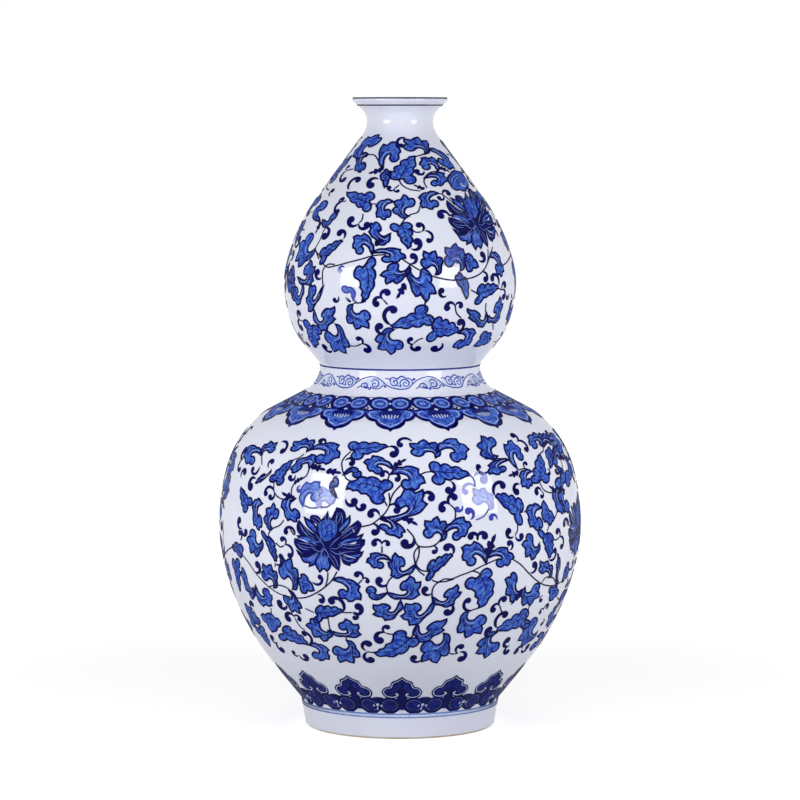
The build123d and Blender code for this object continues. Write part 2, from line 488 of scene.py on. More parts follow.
def painting_tree():
    """Puts a copy of a motif on each point, picked by its kind, rolls them all on to the vase and colours
    them."""
    tree = bpy.data.node_groups.new("roll the painting on", "GeometryNodeTree")
    for name, kind in (
            ("Places", "Geometry"), ("Motifs", "Collection"), ("Strokes", "Object"), ("Outline", "Object"),
            ("Colour", "Material")):
        tree.interface.new_socket(name=name, in_out="INPUT", socket_type="NodeSocket" + kind)
    tree.interface.new_socket(name="Painting", in_out="OUTPUT", socket_type="NodeSocketGeometry")
    given = node(tree, "NodeGroupInput", {}, {})
    motifs = node(tree, "GeometryNodeCollectionInfo", {}, {
        "Collection": given["Motifs"],
        "Separate Children": True,
        "Reset Children": True,
    })["Instances"]
    values = {"Geometry": given["Places"], "Position": vector(tree, 0.0, 0.0, 0.0)}
    places = node(tree, "GeometryNodeSetPosition", {}, values)["Geometry"]
    copies = node(tree, "GeometryNodeInstanceOnPoints", {}, {
        "Points": places,
        "Instance": motifs,
        "Pick Instance": True,
        "Instance Index": attribute(tree, "kind", "INT"),
    })["Instances"]
    flat = node(tree, "GeometryNodeRealizeInstances", {}, {"Geometry": copies})["Geometry"]
    outline = node(tree, "GeometryNodeObjectInfo", {}, {"Object": given["Outline"]})["Geometry"]
    own_strokes = node(tree, "GeometryNodeObjectInfo", {}, {"Object": given["Strokes"]})["Geometry"]
    everything = node(tree, "GeometryNodeJoinGeometry", {}, {"Geometry": [flat, own_strokes]})["Geometry"]
    rolled = roll_on(tree, everything, outline)
    smooth = node(tree, "GeometryNodeSetShadeSmooth", {}, {"Geometry": rolled})["Geometry"]
    whole = node(tree, "GeometryNodeRealizeInstances", {}, {"Geometry": smooth})["Geometry"]
    values = {"Geometry": whole, "Material": given["Colour"]}
    painted = node(tree, "GeometryNodeSetMaterial", {}, values)["Geometry"]
    node(tree, "NodeGroupOutput", {}, {"Painting": painted})
    return tree


def outline_object():
    """The outline as a curve in the plane of the axis, for the nodes that roll shapes on."""
    curve = bpy.data.curves.new("outline", "CURVE")
    curve.dimensions = "3D"
    spline = curve.splines.new("POLY")
    spline.points.add(len(skin.line) - 1)
    rows = np.zeros((len(skin.line), 4))
    rows[:, 0], rows[:, 2], rows[:, 3] = skin.line[:, 0], skin.line[:, 1], 1
    spline.points.foreach_set("co", rows.ravel())
    return bpy.data.objects.new("outline", curve)


# A mark is a filled shape, or a stroke where it has widths. Its points are in the motif's own units, with a
# third number where the point is a corner. The rise counts layers above the lowest coat.
Mark = namedtuple("Mark", "tone points widths rise closed")


def fill(tone, points, rise=0):
    """A shape filled with one tone."""
    return Mark(tone, points, (), rise, True)


def stroke(tone, points, widths, rise=0, closed=False):
    """A brush stroke through points, with its widths in millimetres from its start to its end."""
    return Mark(tone, points, widths, rise, closed)


def strokes(tone, lines, widths, rise=0):
    """Several strokes of one tone with one brush."""
    return [stroke(tone, line, widths, rise) for line in lines]


def split_corners(points):
    """The points without their third number, and the places in the list of those that have one."""
    corners = {i for i, point in enumerate(points) if len(point) > 2}
    return np.array([point[:2] for point in points], float), corners


def inside_of(outline, spots):
    """Which spots lie inside a closed outline."""
    x, y = spots[:, 0][:, None], spots[:, 1][:, None]
    first, second = outline, np.roll(outline, -1, axis=0)
    crosses = (first[:, 1] > y) != (second[:, 1] > y)
    rise = second[:, 1] - first[:, 1]
    rise = np.where(rise == 0, TINY, rise)
    where = (second[:, 0] - first[:, 0]) * (y - first[:, 1]) / rise + first[:, 0]
    return (crosses & (x < where)).sum(axis=1) % 2 == 1


def filled_shape(outline, step):
    """Triangles inside a closed outline, with points within it so that it can bend with the surface."""
    low, high = outline.min(axis=0), outline.max(axis=0)
    xs = np.arange(low[0], high[0], step)
    ys = np.arange(low[1], high[1], step * sqrt(3) / 2)
    grid = np.array([(x + (row % 2) * step / 2, y) for row, y in enumerate(ys) for x in xs])
    if len(grid):
        gaps = np.linalg.norm(grid[:, None] - outline[None], axis=2).min(axis=1)
        grid = grid[(gaps > step * FILL_MARGIN_SHARE) & inside_of(outline, grid)]
    spots = [Vector(spot) for spot in np.concatenate((outline, grid.reshape(-1, 2)))]
    edges = [(i, (i + 1) % len(outline)) for i in range(len(outline))]
    made = delaunay_2d_cdt(spots, edges, [list(range(len(outline)))], 1, SAME_CORNER)
    return np.array([tuple(spot) for spot in made[0]]), [tuple(face) for face in made[2]]


class Flat:
    """A flat mesh that grows mark by mark, with what the nodes need to roll it on."""

    def __init__(self):
        self.places, self.faces, self.headings, self.halves, self.lifts = [], [], [], [], []
        self.anchors = []

    def add(self, places, faces, headings, halves, lift, anchors=()):
        """Adds points and faces. On a stroke's edge, a point has its heading and its half width."""
        first = len(self.places)
        self.places += [tuple(place) for place in places]
        self.faces += [tuple(first + corner for corner in face) for face in faces]
        self.headings += [tuple(heading) for heading in headings]
        self.halves += list(halves)
        self.lifts += [lift] * len(places)
        self.anchors += [tuple(anchor) for anchor in anchors]

    def add_fill(self, outline, lift):
        """Adds a filled shape."""
        places, faces = filled_shape(outline, FILL_STEP)
        self.add(places, faces, np.tile((1.0, 0.0), (len(places), 1)), np.zeros(len(places)), lift)

    def add_stroke(self, line, widths, lift, closed=False, anchors=()):
        """A ribbon along a line, mitred where it turns."""
        ways = unit(np.roll(line, -1, axis=0) - line)
        before = np.roll(ways, 1, axis=0)
        if not closed:
            ways[-1], before[0] = ways[-2], ways[0]
        joined = ways + before
        joined = np.where(np.linalg.norm(joined, axis=1, keepdims=True) < OPPOSITE_WAYS, ways, joined)
        headings = unit(joined)
        spread = np.clip((headings * ways).sum(axis=1), MITRE_SHARE, 1)
        halves = np.asarray(widths) / 2 / spread
        count = len(line)
        places = np.repeat(line, 2, axis=0)
        sides = np.column_stack((halves, -halves)).ravel()
        spans = count if closed else count - 1
        firsts = range(0, 2 * spans, 2)
        faces = [(i, i + 1, (i + 3) % (2 * count), (i + 2) % (2 * count)) for i in firsts]
        doubled = np.repeat(anchors, 2, axis=0)
        self.add(places, faces, np.repeat(headings, 2, axis=0), sides, lift, doubled)

    def mesh(self, name):
        """The flat mesh with its points' headings, half widths and lifts."""
        mesh = bpy.data.meshes.new(name)
        mesh.from_pydata([place + (0.0,) for place in self.places], [], self.faces)
        put(mesh, "heading", "FLOAT_VECTOR", np.array([heading + (0.0,) for heading in self.headings]))
        put(mesh, "half", "FLOAT", np.array(self.halves))
        put(mesh, "lift", "FLOAT", np.array(self.lifts))
        return mesh


def put(mesh, name, kind, values):
    """Gives each point of a mesh its own value under a name."""
    field = "vector" if kind == "FLOAT_VECTOR" else "value"
    layer = mesh.attributes.new(name, kind, "POINT")
    layer.data.foreach_set(field, np.asarray(values, np.int32 if kind == "INT" else np.float32).ravel())


def lift_of(tone, rise):
    """How high a mark lies on the glaze."""
    return LOWEST_COAT + LAYER * (rise + TONE_RISE[tone])


def widths_along(line, widths):
    """A stroke's width at each point of its line, in metres."""
    shares = np.linspace(0, 1, len(line))
    return np.interp(shares, np.linspace(0, 1, len(widths)), np.array(widths) * MM)


def motif_meshes(name, marks):
    """One flat mesh for each tone of a motif."""
    flats = {}
    for mark in marks:
        flat = flats.setdefault(mark.tone, Flat())
        points, corners = split_corners(mark.points)
        line = smooth_line(points, STROKE_STEP, corners, mark.closed)
        lift = lift_of(mark.tone, mark.rise)
        if mark.widths:
            flat.add_stroke(line, widths_along(line, mark.widths), lift, mark.closed)
        else:
            flat.add_fill(line, lift)
    return {tone: flat.mesh(name + "_" + tone) for tone, flat in flats.items()}


def outlined(points, rise=0):
    """A shape in the blue wash inside a dark line."""
    return [fill("wash", points, rise), stroke("line", points, OUTLINE, rise, closed=True)]


def swollen(points):
    """A closed outline pushed out by the width that the brush adds to it."""
    places = np.array([point[:2] for point in points])
    flow = np.roll(places, -1, axis=0) - np.roll(places, 1, axis=0)
    flow /= np.linalg.norm(flow, axis=1)[:, None]
    turn = np.sum(places[:, 0] * np.roll(places[:, 1], -1) - places[:, 1] * np.roll(places[:, 0], -1))
    pushed = places + np.column_stack((flow[:, 1], -flow[:, 0])) * np.sign(turn) * BRUSH_SWELL
    return [tuple(place) + tuple(point[2:]) for place, point in zip(pushed, points)]


def curl_leaf():
    """A leaf that arches over from its stalk, at 0, 0, with three points and a curled bud, at 1, 0."""
    body = [
        (0.0, 0.0, 1), (0.03, 0.30), (0.16, 0.55), (0.34, 0.66), (0.46, 0.84), (0.70, 1.0),
        (1.08, 1.10, 1), (1.16, 0.93), (1.30, 0.84, 1), (1.52, 0.85), (1.78, 0.66, 1), (1.64, 0.52),
        (1.60, 0.38, 1), (1.64, 0.22), (1.56, 0.02, 1), (1.40, 0.02), (1.30, -0.04, 1), (1.20, -0.20),
        (1.02, -0.24), (0.84, -0.16), (0.78, 0.0), (0.86, 0.16), (1.0, 0.19, 1), (1.04, 0.30),
        (0.98, 0.42), (0.82, 0.50), (0.58, 0.47), (0.34, 0.36), (0.14, 0.18)]
    return outlined(swollen(body)) + [
        stroke("line", [(0.03, 0.10), (0.22, 0.46), (0.60, 0.70), (1.05, 0.74), (1.50, 0.62)],
               (0.3, 0.64, 0.2)),
        stroke("line", [(0.50, 0.66), (0.76, 0.86), (0.98, 1.0)], VEIN),
        stroke("line", [(0.90, 0.68), (1.22, 0.50), (1.46, 0.16)], MAIN_VEIN),
        stroke("line", [(1.04, 0.28), (1.16, 0.14), (1.10, -0.04), (0.97, -0.06)], (0.3, 0.2)),
        stroke("light", [(0.10, 0.26), (0.30, 0.50), (0.62, 0.60), (0.92, 0.58), (1.12, 0.44)],
               (0.15, 0.26, 0.12)),
    ]


def long_curl_leaf():
    """A leaf whose stalk runs out along one side and turns back, with its points beyond the curled bud."""
    body = [
        (0.0, 0.0, 1), (0.20, 0.34), (0.44, 0.56), (0.76, 0.66), (1.06, 0.80), (1.44, 0.98),
        (1.88, 0.90, 1), (1.80, 0.74), (1.80, 0.56, 1), (1.98, 0.44), (2.06, 0.22, 1), (1.88, 0.20),
        (1.72, 0.12, 1), (1.70, -0.12), (1.50, -0.38, 1), (1.36, -0.26), (1.22, -0.20, 1), (1.04, -0.22),
        (0.90, -0.12), (0.86, 0.06), (0.96, 0.20), (1.12, 0.22, 1), (1.24, 0.34), (1.22, 0.54),
        (1.06, 0.62), (0.84, 0.58), (0.52, 0.42), (0.22, 0.20)]
    midrib = [(0.16, 0.20), (0.56, 0.54), (1.10, 0.72), (1.44, 0.62), (1.60, 0.20), (1.52, -0.18)]
    return outlined(swollen(body)) + [
        stroke("line", midrib, (0.25, 0.64, 0.15)),
        stroke("line", [(1.30, 0.70), (1.56, 0.74), (1.76, 0.82)], MAIN_VEIN),
        stroke("line", [(1.50, 0.54), (1.74, 0.38), (1.94, 0.26)], VEIN),
        stroke("line", [(1.18, 0.30), (1.26, 0.10), (1.14, -0.06), (1.02, -0.02)], BUD_LINE),
        stroke("line", [(0.86, 0.64), (1.20, 0.82), (1.54, 0.90)], FINE_VEIN),
        stroke("line", [(1.42, 0.62), (1.60, 0.64), (1.74, 0.62)], FINER_VEIN),
        stroke("line", [(1.58, 0.30), (1.70, 0.22), (1.86, 0.24)], FINER_VEIN),
        stroke("line", [(1.38, 0.56), (1.46, 0.20), (1.38, -0.14)], FINE_VEIN),
        stroke("light", [(0.30, 0.34), (0.66, 0.54), (1.04, 0.68), (1.30, 0.60), (1.38, 0.38)], GLEAM),
    ]


def bud_leaf():
    """A small leaf with two round lobes, one of them curled, on a bowed stalk."""
    body = [
        (0.0, 0.0, 1), (0.20, 0.20), (0.44, 0.40), (0.72, 0.50), (1.0, 0.42), (1.12, 0.24),
        (1.10, 0.12, 1), (1.26, 0.04), (1.30, -0.14), (1.16, -0.32), (0.96, -0.36), (0.78, -0.24),
        (0.76, -0.06), (0.86, 0.06, 1), (0.72, 0.20), (0.46, 0.20), (0.22, 0.09)]
    return outlined(swollen(body)) + [
        stroke("line", [(0.10, 0.08), (0.46, 0.30), (0.80, 0.34), (0.98, 0.14)], (0.2, 0.6, 0.15)),
        stroke("line", [(0.88, 0.06), (1.04, -0.02), (1.06, -0.16), (0.94, -0.18)], BUD_LINE),
        stroke("line", [(0.40, 0.24), (0.62, 0.42), (0.88, 0.44)], (0.46, 0.12)),
        stroke("line", [(1.0, 0.08), (1.18, -0.04), (1.20, -0.18)], FINER_VEIN),
    ]


def long_leaf():
    """A long leaf from two round lobes at 0, 0 to its tip at 1, 0, with scalloped edges and veins."""
    body = [
        (0.0, 0.0, 1), (-0.05, 0.10), (-0.06, 0.24), (0.04, 0.35), (0.17, 0.31), (0.21, 0.22, 1),
        (0.32, 0.31), (0.45, 0.26), (0.49, 0.20, 1), (0.62, 0.25), (0.74, 0.20), (0.79, 0.14, 1),
        (0.91, 0.12), (1.0, 0.0, 1), (0.90, -0.04), (0.81, -0.10, 1), (0.70, -0.17), (0.57, -0.15, 1),
        (0.46, -0.23), (0.33, -0.20, 1), (0.31, -0.33), (0.20, -0.42), (0.06, -0.38), (0.0, -0.27),
        (0.04, -0.15), (0.10, -0.08)]
    marks = outlined(body)
    marks.append(stroke("line", [(0.02, 0.0), (0.30, 0.02), (0.62, 0.03), (0.93, 0.01)], STRAIGHT_RIB))
    for start, top, bottom in (
            (0.16, 0.24, 0.26), (0.32, 0.20, 0.17), (0.48, 0.17, 0.13), (0.64, 0.14, 0.09)):
        upper = [(start, 0.02), (start + 0.07, top * 0.5), (start + 0.16, top * 0.92)]
        lower = [(start, 0.0), (start + 0.08, -bottom * 0.5), (start + 0.16, -bottom * 0.92)]
        marks += strokes("line", [upper, lower], SIDE_VEIN)
    marks.append(stroke("line", [(0.04, 0.02), (0.05, 0.12), (0.06, 0.26)], VEIN))
    marks.append(stroke("line", [(0.06, -0.02), (0.12, -0.14), (0.15, -0.34)], VEIN))
    return marks


def comma():
    """A solid hook: a thin tail at 0, 0 that bows out and rolls up into a round head at 1, 0."""
    return [fill("navy", [
        (0.0, 0.0, 1), (0.0, 0.26), (0.16, 0.54), (0.46, 0.72), (0.82, 0.72), (1.14, 0.55), (1.34, 0.26),
        (1.36, -0.06), (1.22, -0.30), (0.98, -0.38), (0.74, -0.30), (0.60, -0.08), (0.62, 0.12),
        (0.74, 0.26, 1), (0.62, 0.36), (0.42, 0.36), (0.22, 0.24)])]


def crook():
    """A longer hook with a smaller head, for the wide bends of the stems."""
    return [fill("navy", [
        (0.0, 0.0, 1), (0.0, 0.22), (0.14, 0.44), (0.40, 0.60), (0.74, 0.60), (1.02, 0.44), (1.18, 0.20),
        (1.20, -0.04), (1.10, -0.20), (0.94, -0.24), (0.79, -0.18), (0.72, -0.02), (0.76, 0.14),
        (0.88, 0.20, 1), (0.76, 0.33), (0.54, 0.38), (0.32, 0.30), (0.14, 0.16)])]


def spur():
    """A small dark sprig with saw teeth, from 0, 0 to its tip at 1, 0."""
    return [fill("navy", [
        (0.0, 0.0, 1), (0.10, 0.16), (0.30, 0.26, 1), (0.34, 0.14, 1), (0.50, 0.24), (0.62, 0.24, 1),
        (0.62, 0.10, 1), (0.80, 0.12), (1.0, 0.0, 1), (0.78, -0.06), (0.60, -0.04, 1), (0.50, -0.20, 1),
        (0.36, -0.10), (0.28, -0.08, 1), (0.14, -0.14), (0.04, -0.08)])]


def round_leaf():
    """A broad leaf with three pointed lobes and a short stalk, from 0, 0 to the middle point at 1, 0."""
    body = [
        (0.0, 0.0, 1), (0.04, 0.16), (0.16, 0.28), (0.10, 0.44), (0.26, 0.56, 1), (0.46, 0.50),
        (0.54, 0.36, 1), (0.76, 0.30), (1.0, 0.0, 1), (0.80, -0.14), (0.58, -0.22, 1), (0.56, -0.42),
        (0.34, -0.56, 1), (0.22, -0.42), (0.22, -0.28), (0.10, -0.16)]
    return outlined(swollen(body)) + [
        stroke("line", [(0.04, 0.0), (0.44, 0.04), (0.84, 0.0)], MAIN_VEIN),
        stroke("line", [(0.20, 0.04), (0.28, 0.24), (0.28, 0.44)], VEIN),
        stroke("line", [(0.24, 0.0), (0.36, -0.20), (0.36, -0.44)], VEIN),
        stroke("line", [(0.36, 0.05), (0.50, 0.16), (0.72, 0.20)], (0.46, 0.12)),
        stroke("line", [(0.42, 0.0), (0.58, -0.10), (0.74, -0.10)], (0.46, 0.12)),
        stroke("line", [(0.22, 0.14), (0.38, 0.28), (0.42, 0.42)], (0.42, 0.12)),
        stroke("line", [(0.30, -0.10), (0.46, -0.22), (0.50, -0.34)], (0.42, 0.12)),
    ]


def fan_leaf():
    """A leaf spread like a fan from its stalk, at 0, 0: a curled bud, at 1, 0, and three pointed lobes."""
    body = [
        (0.0, 0.0, 1), (0.02, 0.18), (0.14, 0.36), (0.34, 0.44), (0.56, 0.38), (0.70, 0.20), (0.74, 0.0),
        (0.86, -0.18), (1.06, -0.20), (1.26, -0.08), (1.30, 0.16), (1.20, 0.34, 1), (1.40, 0.46),
        (1.54, 0.74, 1), (1.30, 0.80), (1.12, 0.86, 1), (1.08, 1.08), (0.94, 1.32, 1), (0.74, 1.16),
        (0.58, 1.0, 1), (0.48, 1.16), (0.32, 1.26, 1), (0.14, 1.06), (0.06, 0.76), (-0.10, 0.50),
        (-0.14, 0.20)]
    return outlined(swollen(body)) + [
        stroke("line", [(-0.04, 0.16), (0.10, 0.50), (0.46, 0.86), (0.84, 1.14)], BOWED_RIB),
        stroke("line", [(0.08, 0.42), (0.44, 0.64), (0.96, 0.66), (1.36, 0.70)], BOWED_RIB),
        stroke("line", [(0.04, 0.44), (0.16, 0.74), (0.28, 1.06)], VEIN),
        stroke("line", [(1.16, 0.34), (1.02, 0.18), (0.96, 0.02), (1.10, -0.02)], BUD_LINE),
        stroke("line", [(0.30, 0.72), (0.56, 0.78), (0.88, 1.0)], FINE_VEIN),
        stroke("line", [(0.62, 0.62), (0.94, 0.52), (1.24, 0.54)], FINE_VEIN),
        stroke("line", [(-0.08, 0.24), (0.0, 0.56), (0.16, 0.96)], FINER_VEIN),
        stroke("line", [(0.26, 0.80), (0.36, 0.96), (0.40, 1.12)], FINER_VEIN),
        stroke("light", [(0.10, 0.42), (0.36, 0.54), (0.68, 0.48), (0.84, 0.30)], GLEAM),
    ]


def arched_leaf():
    """A long leaf like the straight one, but arched over towards its tip."""
    body = [
        (0.0, 0.0, 1), (-0.10, 0.06), (-0.16, 0.20), (-0.08, 0.32), (0.06, 0.35), (0.13, 0.26, 1),
        (0.26, 0.40), (0.42, 0.42), (0.47, 0.38, 1), (0.62, 0.42), (0.74, 0.32), (0.78, 0.28, 1),
        (0.92, 0.22), (1.0, 0.0, 1), (0.92, 0.02), (0.83, -0.04, 1), (0.72, -0.02), (0.62, -0.12, 1),
        (0.48, -0.12), (0.38, -0.24, 1), (0.33, -0.36), (0.20, -0.42), (0.07, -0.36), (0.03, -0.24),
        (0.08, -0.12)]
    marks = outlined(body)
    midrib = [(0.02, 0.0), (0.28, 0.14), (0.58, 0.20), (0.82, 0.12), (0.96, 0.03)]
    marks.append(stroke("line", midrib, STRAIGHT_RIB))
    for start, base, top, bottom in (
            (0.14, 0.08, 0.36, -0.16), (0.30, 0.14, 0.38, -0.08), (0.46, 0.19, 0.38, -0.02),
            (0.62, 0.19, 0.34, 0.03)):
        upper = [(start, base), (start + 0.05, (base + top) / 2), (start + 0.14, top)]
        lower = [(start, base), (start + 0.09, (base + bottom) / 2), (start + 0.16, bottom)]
        marks += strokes("line", [upper, lower], SIDE_VEIN)
    marks.append(stroke("line", [(0.02, 0.02), (-0.04, 0.14), (-0.02, 0.26)], VEIN))
    marks.append(stroke("line", [(0.06, -0.04), (0.14, -0.16), (0.18, -0.34)], VEIN))
    return marks


def petal_veins(petal):
    """Two fine pale lines along a petal, from its root near the lotus's middle towards its tip."""
    places = np.array([point[:2] for point in petal])
    far = np.linalg.norm(places - LOTUS_MIDDLE, axis=1)
    root, tip = places[far.argmin()], places[far.argmax()]
    middle = places.mean(axis=0)
    across = np.array((root[1] - tip[1], tip[0] - root[0])) / np.linalg.norm(tip - root)
    lines = []
    for side in (-PETAL_VEIN_GAP, PETAL_VEIN_GAP):
        aside = across * side * 0.7
        way = (root * 0.6 + middle * 0.4 + aside, middle + across * side, tip * 0.6 + middle * 0.4 + aside)
        lines.append(way)
    return strokes("sky", lines, PETAL_VEIN, rise=5)


def lotus():
    """A lotus seen from the side, about 0, 0: dark petals, slender paler ones between them, and a scrolled
    heart."""
    dark = [
        [(-3.0, 2.65, 1), (-3.25, 2.1), (-3.15, 1.4), (-2.6, 0.9), (-1.4, 0.4), (-0.7, 0.2, 1),
         (-1.2, 1.1), (-1.9, 1.6), (-2.5, 2.1)],
        [(-3.5, 0.75, 1), (-3.55, 0.3), (-3.1, -0.4), (-2.4, -0.8), (-1.3, -0.6), (-0.4, -0.2, 1),
         (-1.4, 0.6), (-2.5, 0.7)],
        [(-0.2, -0.4, 1), (0.0, -1.4), (0.5, -2.05), (1.12, -2.58, 1), (1.3, -1.8), (1.25, -1.1),
         (0.7, -0.4)],
        [(0.6, -0.2, 1), (1.3, -1.1), (1.6, -1.8), (2.22, -2.07, 1), (2.3, -1.85, 1), (2.8, -1.72),
         (3.2, -1.2, 1), (2.3, -1.1), (1.5, -0.6)],
        [(0.6, 0.1, 1), (1.5, -0.7), (2.5, -0.95), (3.2, -0.8), (3.3, -0.4), (3.68, 0.1, 1), (3.65, 0.65),
         (3.3, 0.65), (2.7, 0.2), (1.7, 0.3)],
        [(0.8, 0.4, 1), (1.3, 1.1), (1.9, 1.7), (2.7, 2.35), (2.98, 2.57, 1), (3.32, 2.2), (3.2, 1.5),
         (2.8, 0.9), (1.9, 0.6)],
        [(0.6, 1.6, 1), (0.35, 2.5), (0.6, 3.3), (0.85, 3.88, 1), (1.5, 3.65), (1.8, 3.1), (1.75, 2.3),
         (1.3, 1.7)],
        [(0.1, 2.0, 1), (-0.6, 2.6), (-0.3, 3.0), (0.02, 3.55, 1), (0.15, 3.0), (0.35, 2.5)],
        [(-0.4, 2.0, 1), (-1.3, 2.25), (-1.8, 2.6), (-1.8, 2.95), (-1.2, 3.08), (-0.75, 2.8), (-0.6, 2.4)],
    ]
    heart_ground = [(-1.3, 1.4), (-1.4, 0.2), (-0.8, -0.8), (0.0, -1.1), (0.8, -0.8), (1.6, 0.0),
                    (1.5, 1.2), (0.8, 1.8), (-0.6, 1.9)]
    low = [
        [(-2.8, -1.1, 1), (-2.5, -1.6), (-1.8, -1.7, 1), (-1.9, -2.05, 1), (-1.35, -1.85), (-1.0, -1.1),
         (-0.4, -0.4, 1), (-1.3, -0.7), (-2.1, -1.0)],
        [(-0.4, -0.4, 1), (-1.1, -1.2), (-1.2, -1.9), (-0.85, -2.62, 1), (-0.4, -2.3), (-0.1, -2.55, 1),
         (0.25, -2.1), (0.1, -1.3), (-0.2, -0.6)],
    ]
    slender = [
        [(-3.1, 0.95, 1), (-2.3, 1.0), (-1.4, 0.6), (-0.5, -0.3, 1), (-1.1, 0.0), (-1.9, 0.3),
         (-2.7, 0.6)],
        [(-3.2, -0.52, 1), (-2.6, -0.85), (-1.7, -0.7), (-0.7, -0.4, 1), (-1.5, -0.9), (-2.3, -1.1),
         (-2.9, -0.95)],
        [(-2.4, 2.8, 1), (-1.8, 2.5), (-1.2, 1.9), (-0.8, 1.1, 1), (-1.6, 1.6), (-2.1, 2.1)],
        [(2.18, 2.92, 1), (2.2, 2.4), (1.7, 1.7), (1.1, 1.2, 1), (1.2, 1.8), (1.7, 2.4)],
        [(3.45, 1.1, 1), (3.2, 0.65), (2.3, 0.4), (1.3, 0.0), (0.7, -0.4, 1), (1.3, 0.4), (2.1, 0.8),
         (2.8, 0.85)],
        [(3.45, -0.65, 1), (3.2, -1.1), (2.5, -1.15), (1.7, -0.85, 1), (2.5, -0.85)],
    ]
    heart = [(-1.05, 1.7), (-0.8, 2.4), (-0.2, 2.7), (0.6, 2.6), (1.05, 2.0), (1.0, 1.2), (0.5, 0.6),
             (-0.2, 0.4), (-0.8, 0.9)]
    scrolls = [
        [(-0.85, 1.1), (-0.9, 1.75), (-0.5, 2.3), (0.05, 2.5), (0.6, 2.3), (0.88, 1.75), (0.8, 1.1)],
        [(-0.1, 0.55), (-0.16, 1.1), (0.22, 1.5), (0.5, 1.15), (0.2, 0.86), (0.04, 1.1), (0.24, 1.22)],
        [(-0.12, 0.9), (-0.52, 1.2), (-0.5, 1.62), (-0.16, 1.72), (-0.02, 1.44)],
        [(0.36, 1.5), (0.56, 1.86), (0.3, 2.14), (0.0, 2.0), (0.1, 1.74)],
        [(-0.5, 1.66), (-0.56, 2.0), (-0.22, 2.22), (0.02, 2.04)],
        [(-0.62, 0.9), (-0.36, 0.66)],
        [(0.62, 0.92), (0.42, 0.66)],
    ]
    pale = [
        [(-1.8, 0.3), (-1.2, -0.4), (-0.6, -0.5), (-0.35, -0.1)],
        [(-1.25, 1.3), (-0.7, 0.6), (-0.2, -0.1)],
        [(-1.6, 0.9), (-1.0, 0.4), (-0.6, 0.6), (-0.7, 0.9)],
        [(1.3, 0.9), (0.8, 0.5), (0.3, -0.1)],
        [(0.3, -0.2), (1.0, -0.25), (1.6, 0.15), (2.3, 0.25), (2.9, 0.5)],
        [(0.3, -0.4), (1.0, -0.8), (1.9, -0.6), (2.7, -0.55)],
        [(1.5, 1.2), (2.1, 1.7), (2.7, 1.9)],
        [(-2.9, 2.1), (-2.5, 1.5), (-1.9, 1.1)],
        [(-3.2, 0.2), (-2.6, -0.3), (-1.9, -0.4)],
        [(0.6, -0.9), (0.9, -1.5), (1.1, -2.1)],
        [(1.6, -1.0), (2.0, -1.5), (2.6, -1.5)],
        [(0.95, 2.2), (0.9, 2.9), (1.0, 3.4)],
        [(1.45, 2.2), (1.5, 2.8), (1.3, 3.3)],
        [(-2.5, -1.3), (-1.8, -1.3), (-1.1, -0.9)],
        [(-0.8, -2.3), (-0.8, -1.7), (-0.5, -1.0)],
        [(-0.1, -2.2), (-0.2, -1.6), (-0.3, -1.0)],
    ]
    marks = [fill("navy", petal) for petal in dark]
    marks.append(fill("navy", heart_ground, rise=1))
    for petal in dark + low:
        marks += petal_veins(petal)
    for petal in low:
        marks += outlined(petal, rise=2)
    for petal in slender:
        marks += outlined(petal, rise=3)
    marks += outlined(heart, rise=4)
    marks += strokes("line", scrolls, (0.5, 0.3), rise=4)
    marks += strokes("sky", pale, (0.14, 0.4, 0.14), rise=5)
    tongue = [(-0.22, -0.25, 1), (-0.62, -0.85), (-0.3, -1.5, 1), (0.12, -1.0)]
    marks.append(stroke("sky", tongue, (0.34,), rise=5, closed=True))
    marks.append(stroke("light", [(-3.0, 0.72), (-2.4, 0.52), (-1.9, 0.3)], (0.2, 0.7, 0.2), rise=6))
    marks.append(stroke("light", [(1.7, -0.85), (2.3, -1.1), (2.8, -1.25)], (0.2, 0.6, 0.2), rise=6))
    marks.append(stroke("light", [(2.5, 1.7), (2.7, 1.35)], (0.3, 0.5), rise=6))
    return marks


def ellipse(middle, wide, high, count=20):
    """Points round an ellipse, for a closed outline."""
    around = np.linspace(0, tau, count, endpoint=False)
    return [(middle[0] + wide * cos(angle), middle[1] + high * sin(angle)) for angle in around]


def mirrored(points):
    """The points on the other side of the motif's upright axis."""
    return [(-point[0], *point[1:]) for point in points]


def both_sides(*lines):
    """Each line, and the same on the other side."""
    return [side for line in lines for side in (line, mirrored(line))]


def diamond(middle, wide, high):
    """Four corners, for a closed outline."""
    x, y = middle
    return [(x - wide, y, 1), (x, y - high, 1), (x + wide, y, 1), (x, y + high, 1)]


def round_scroll(middle, wide, high):
    """A dark oval with a blue heart, and a white, a dark and again a white ring in it."""
    return [
        fill("navy", ellipse(middle, wide, high)),
        fill("wash", ellipse(middle, wide * 0.74, high * 0.72), rise=2),
        stroke("light", ellipse(middle, wide * 0.62, high * 0.58), (0.26,), rise=1, closed=True),
        stroke("line", ellipse(middle, wide * 0.40, high * 0.36), (0.42,), rise=1, closed=True),
        stroke("light", ellipse(middle, wide * 0.16, high * 0.12), (0.26,), rise=1, closed=True),
    ]


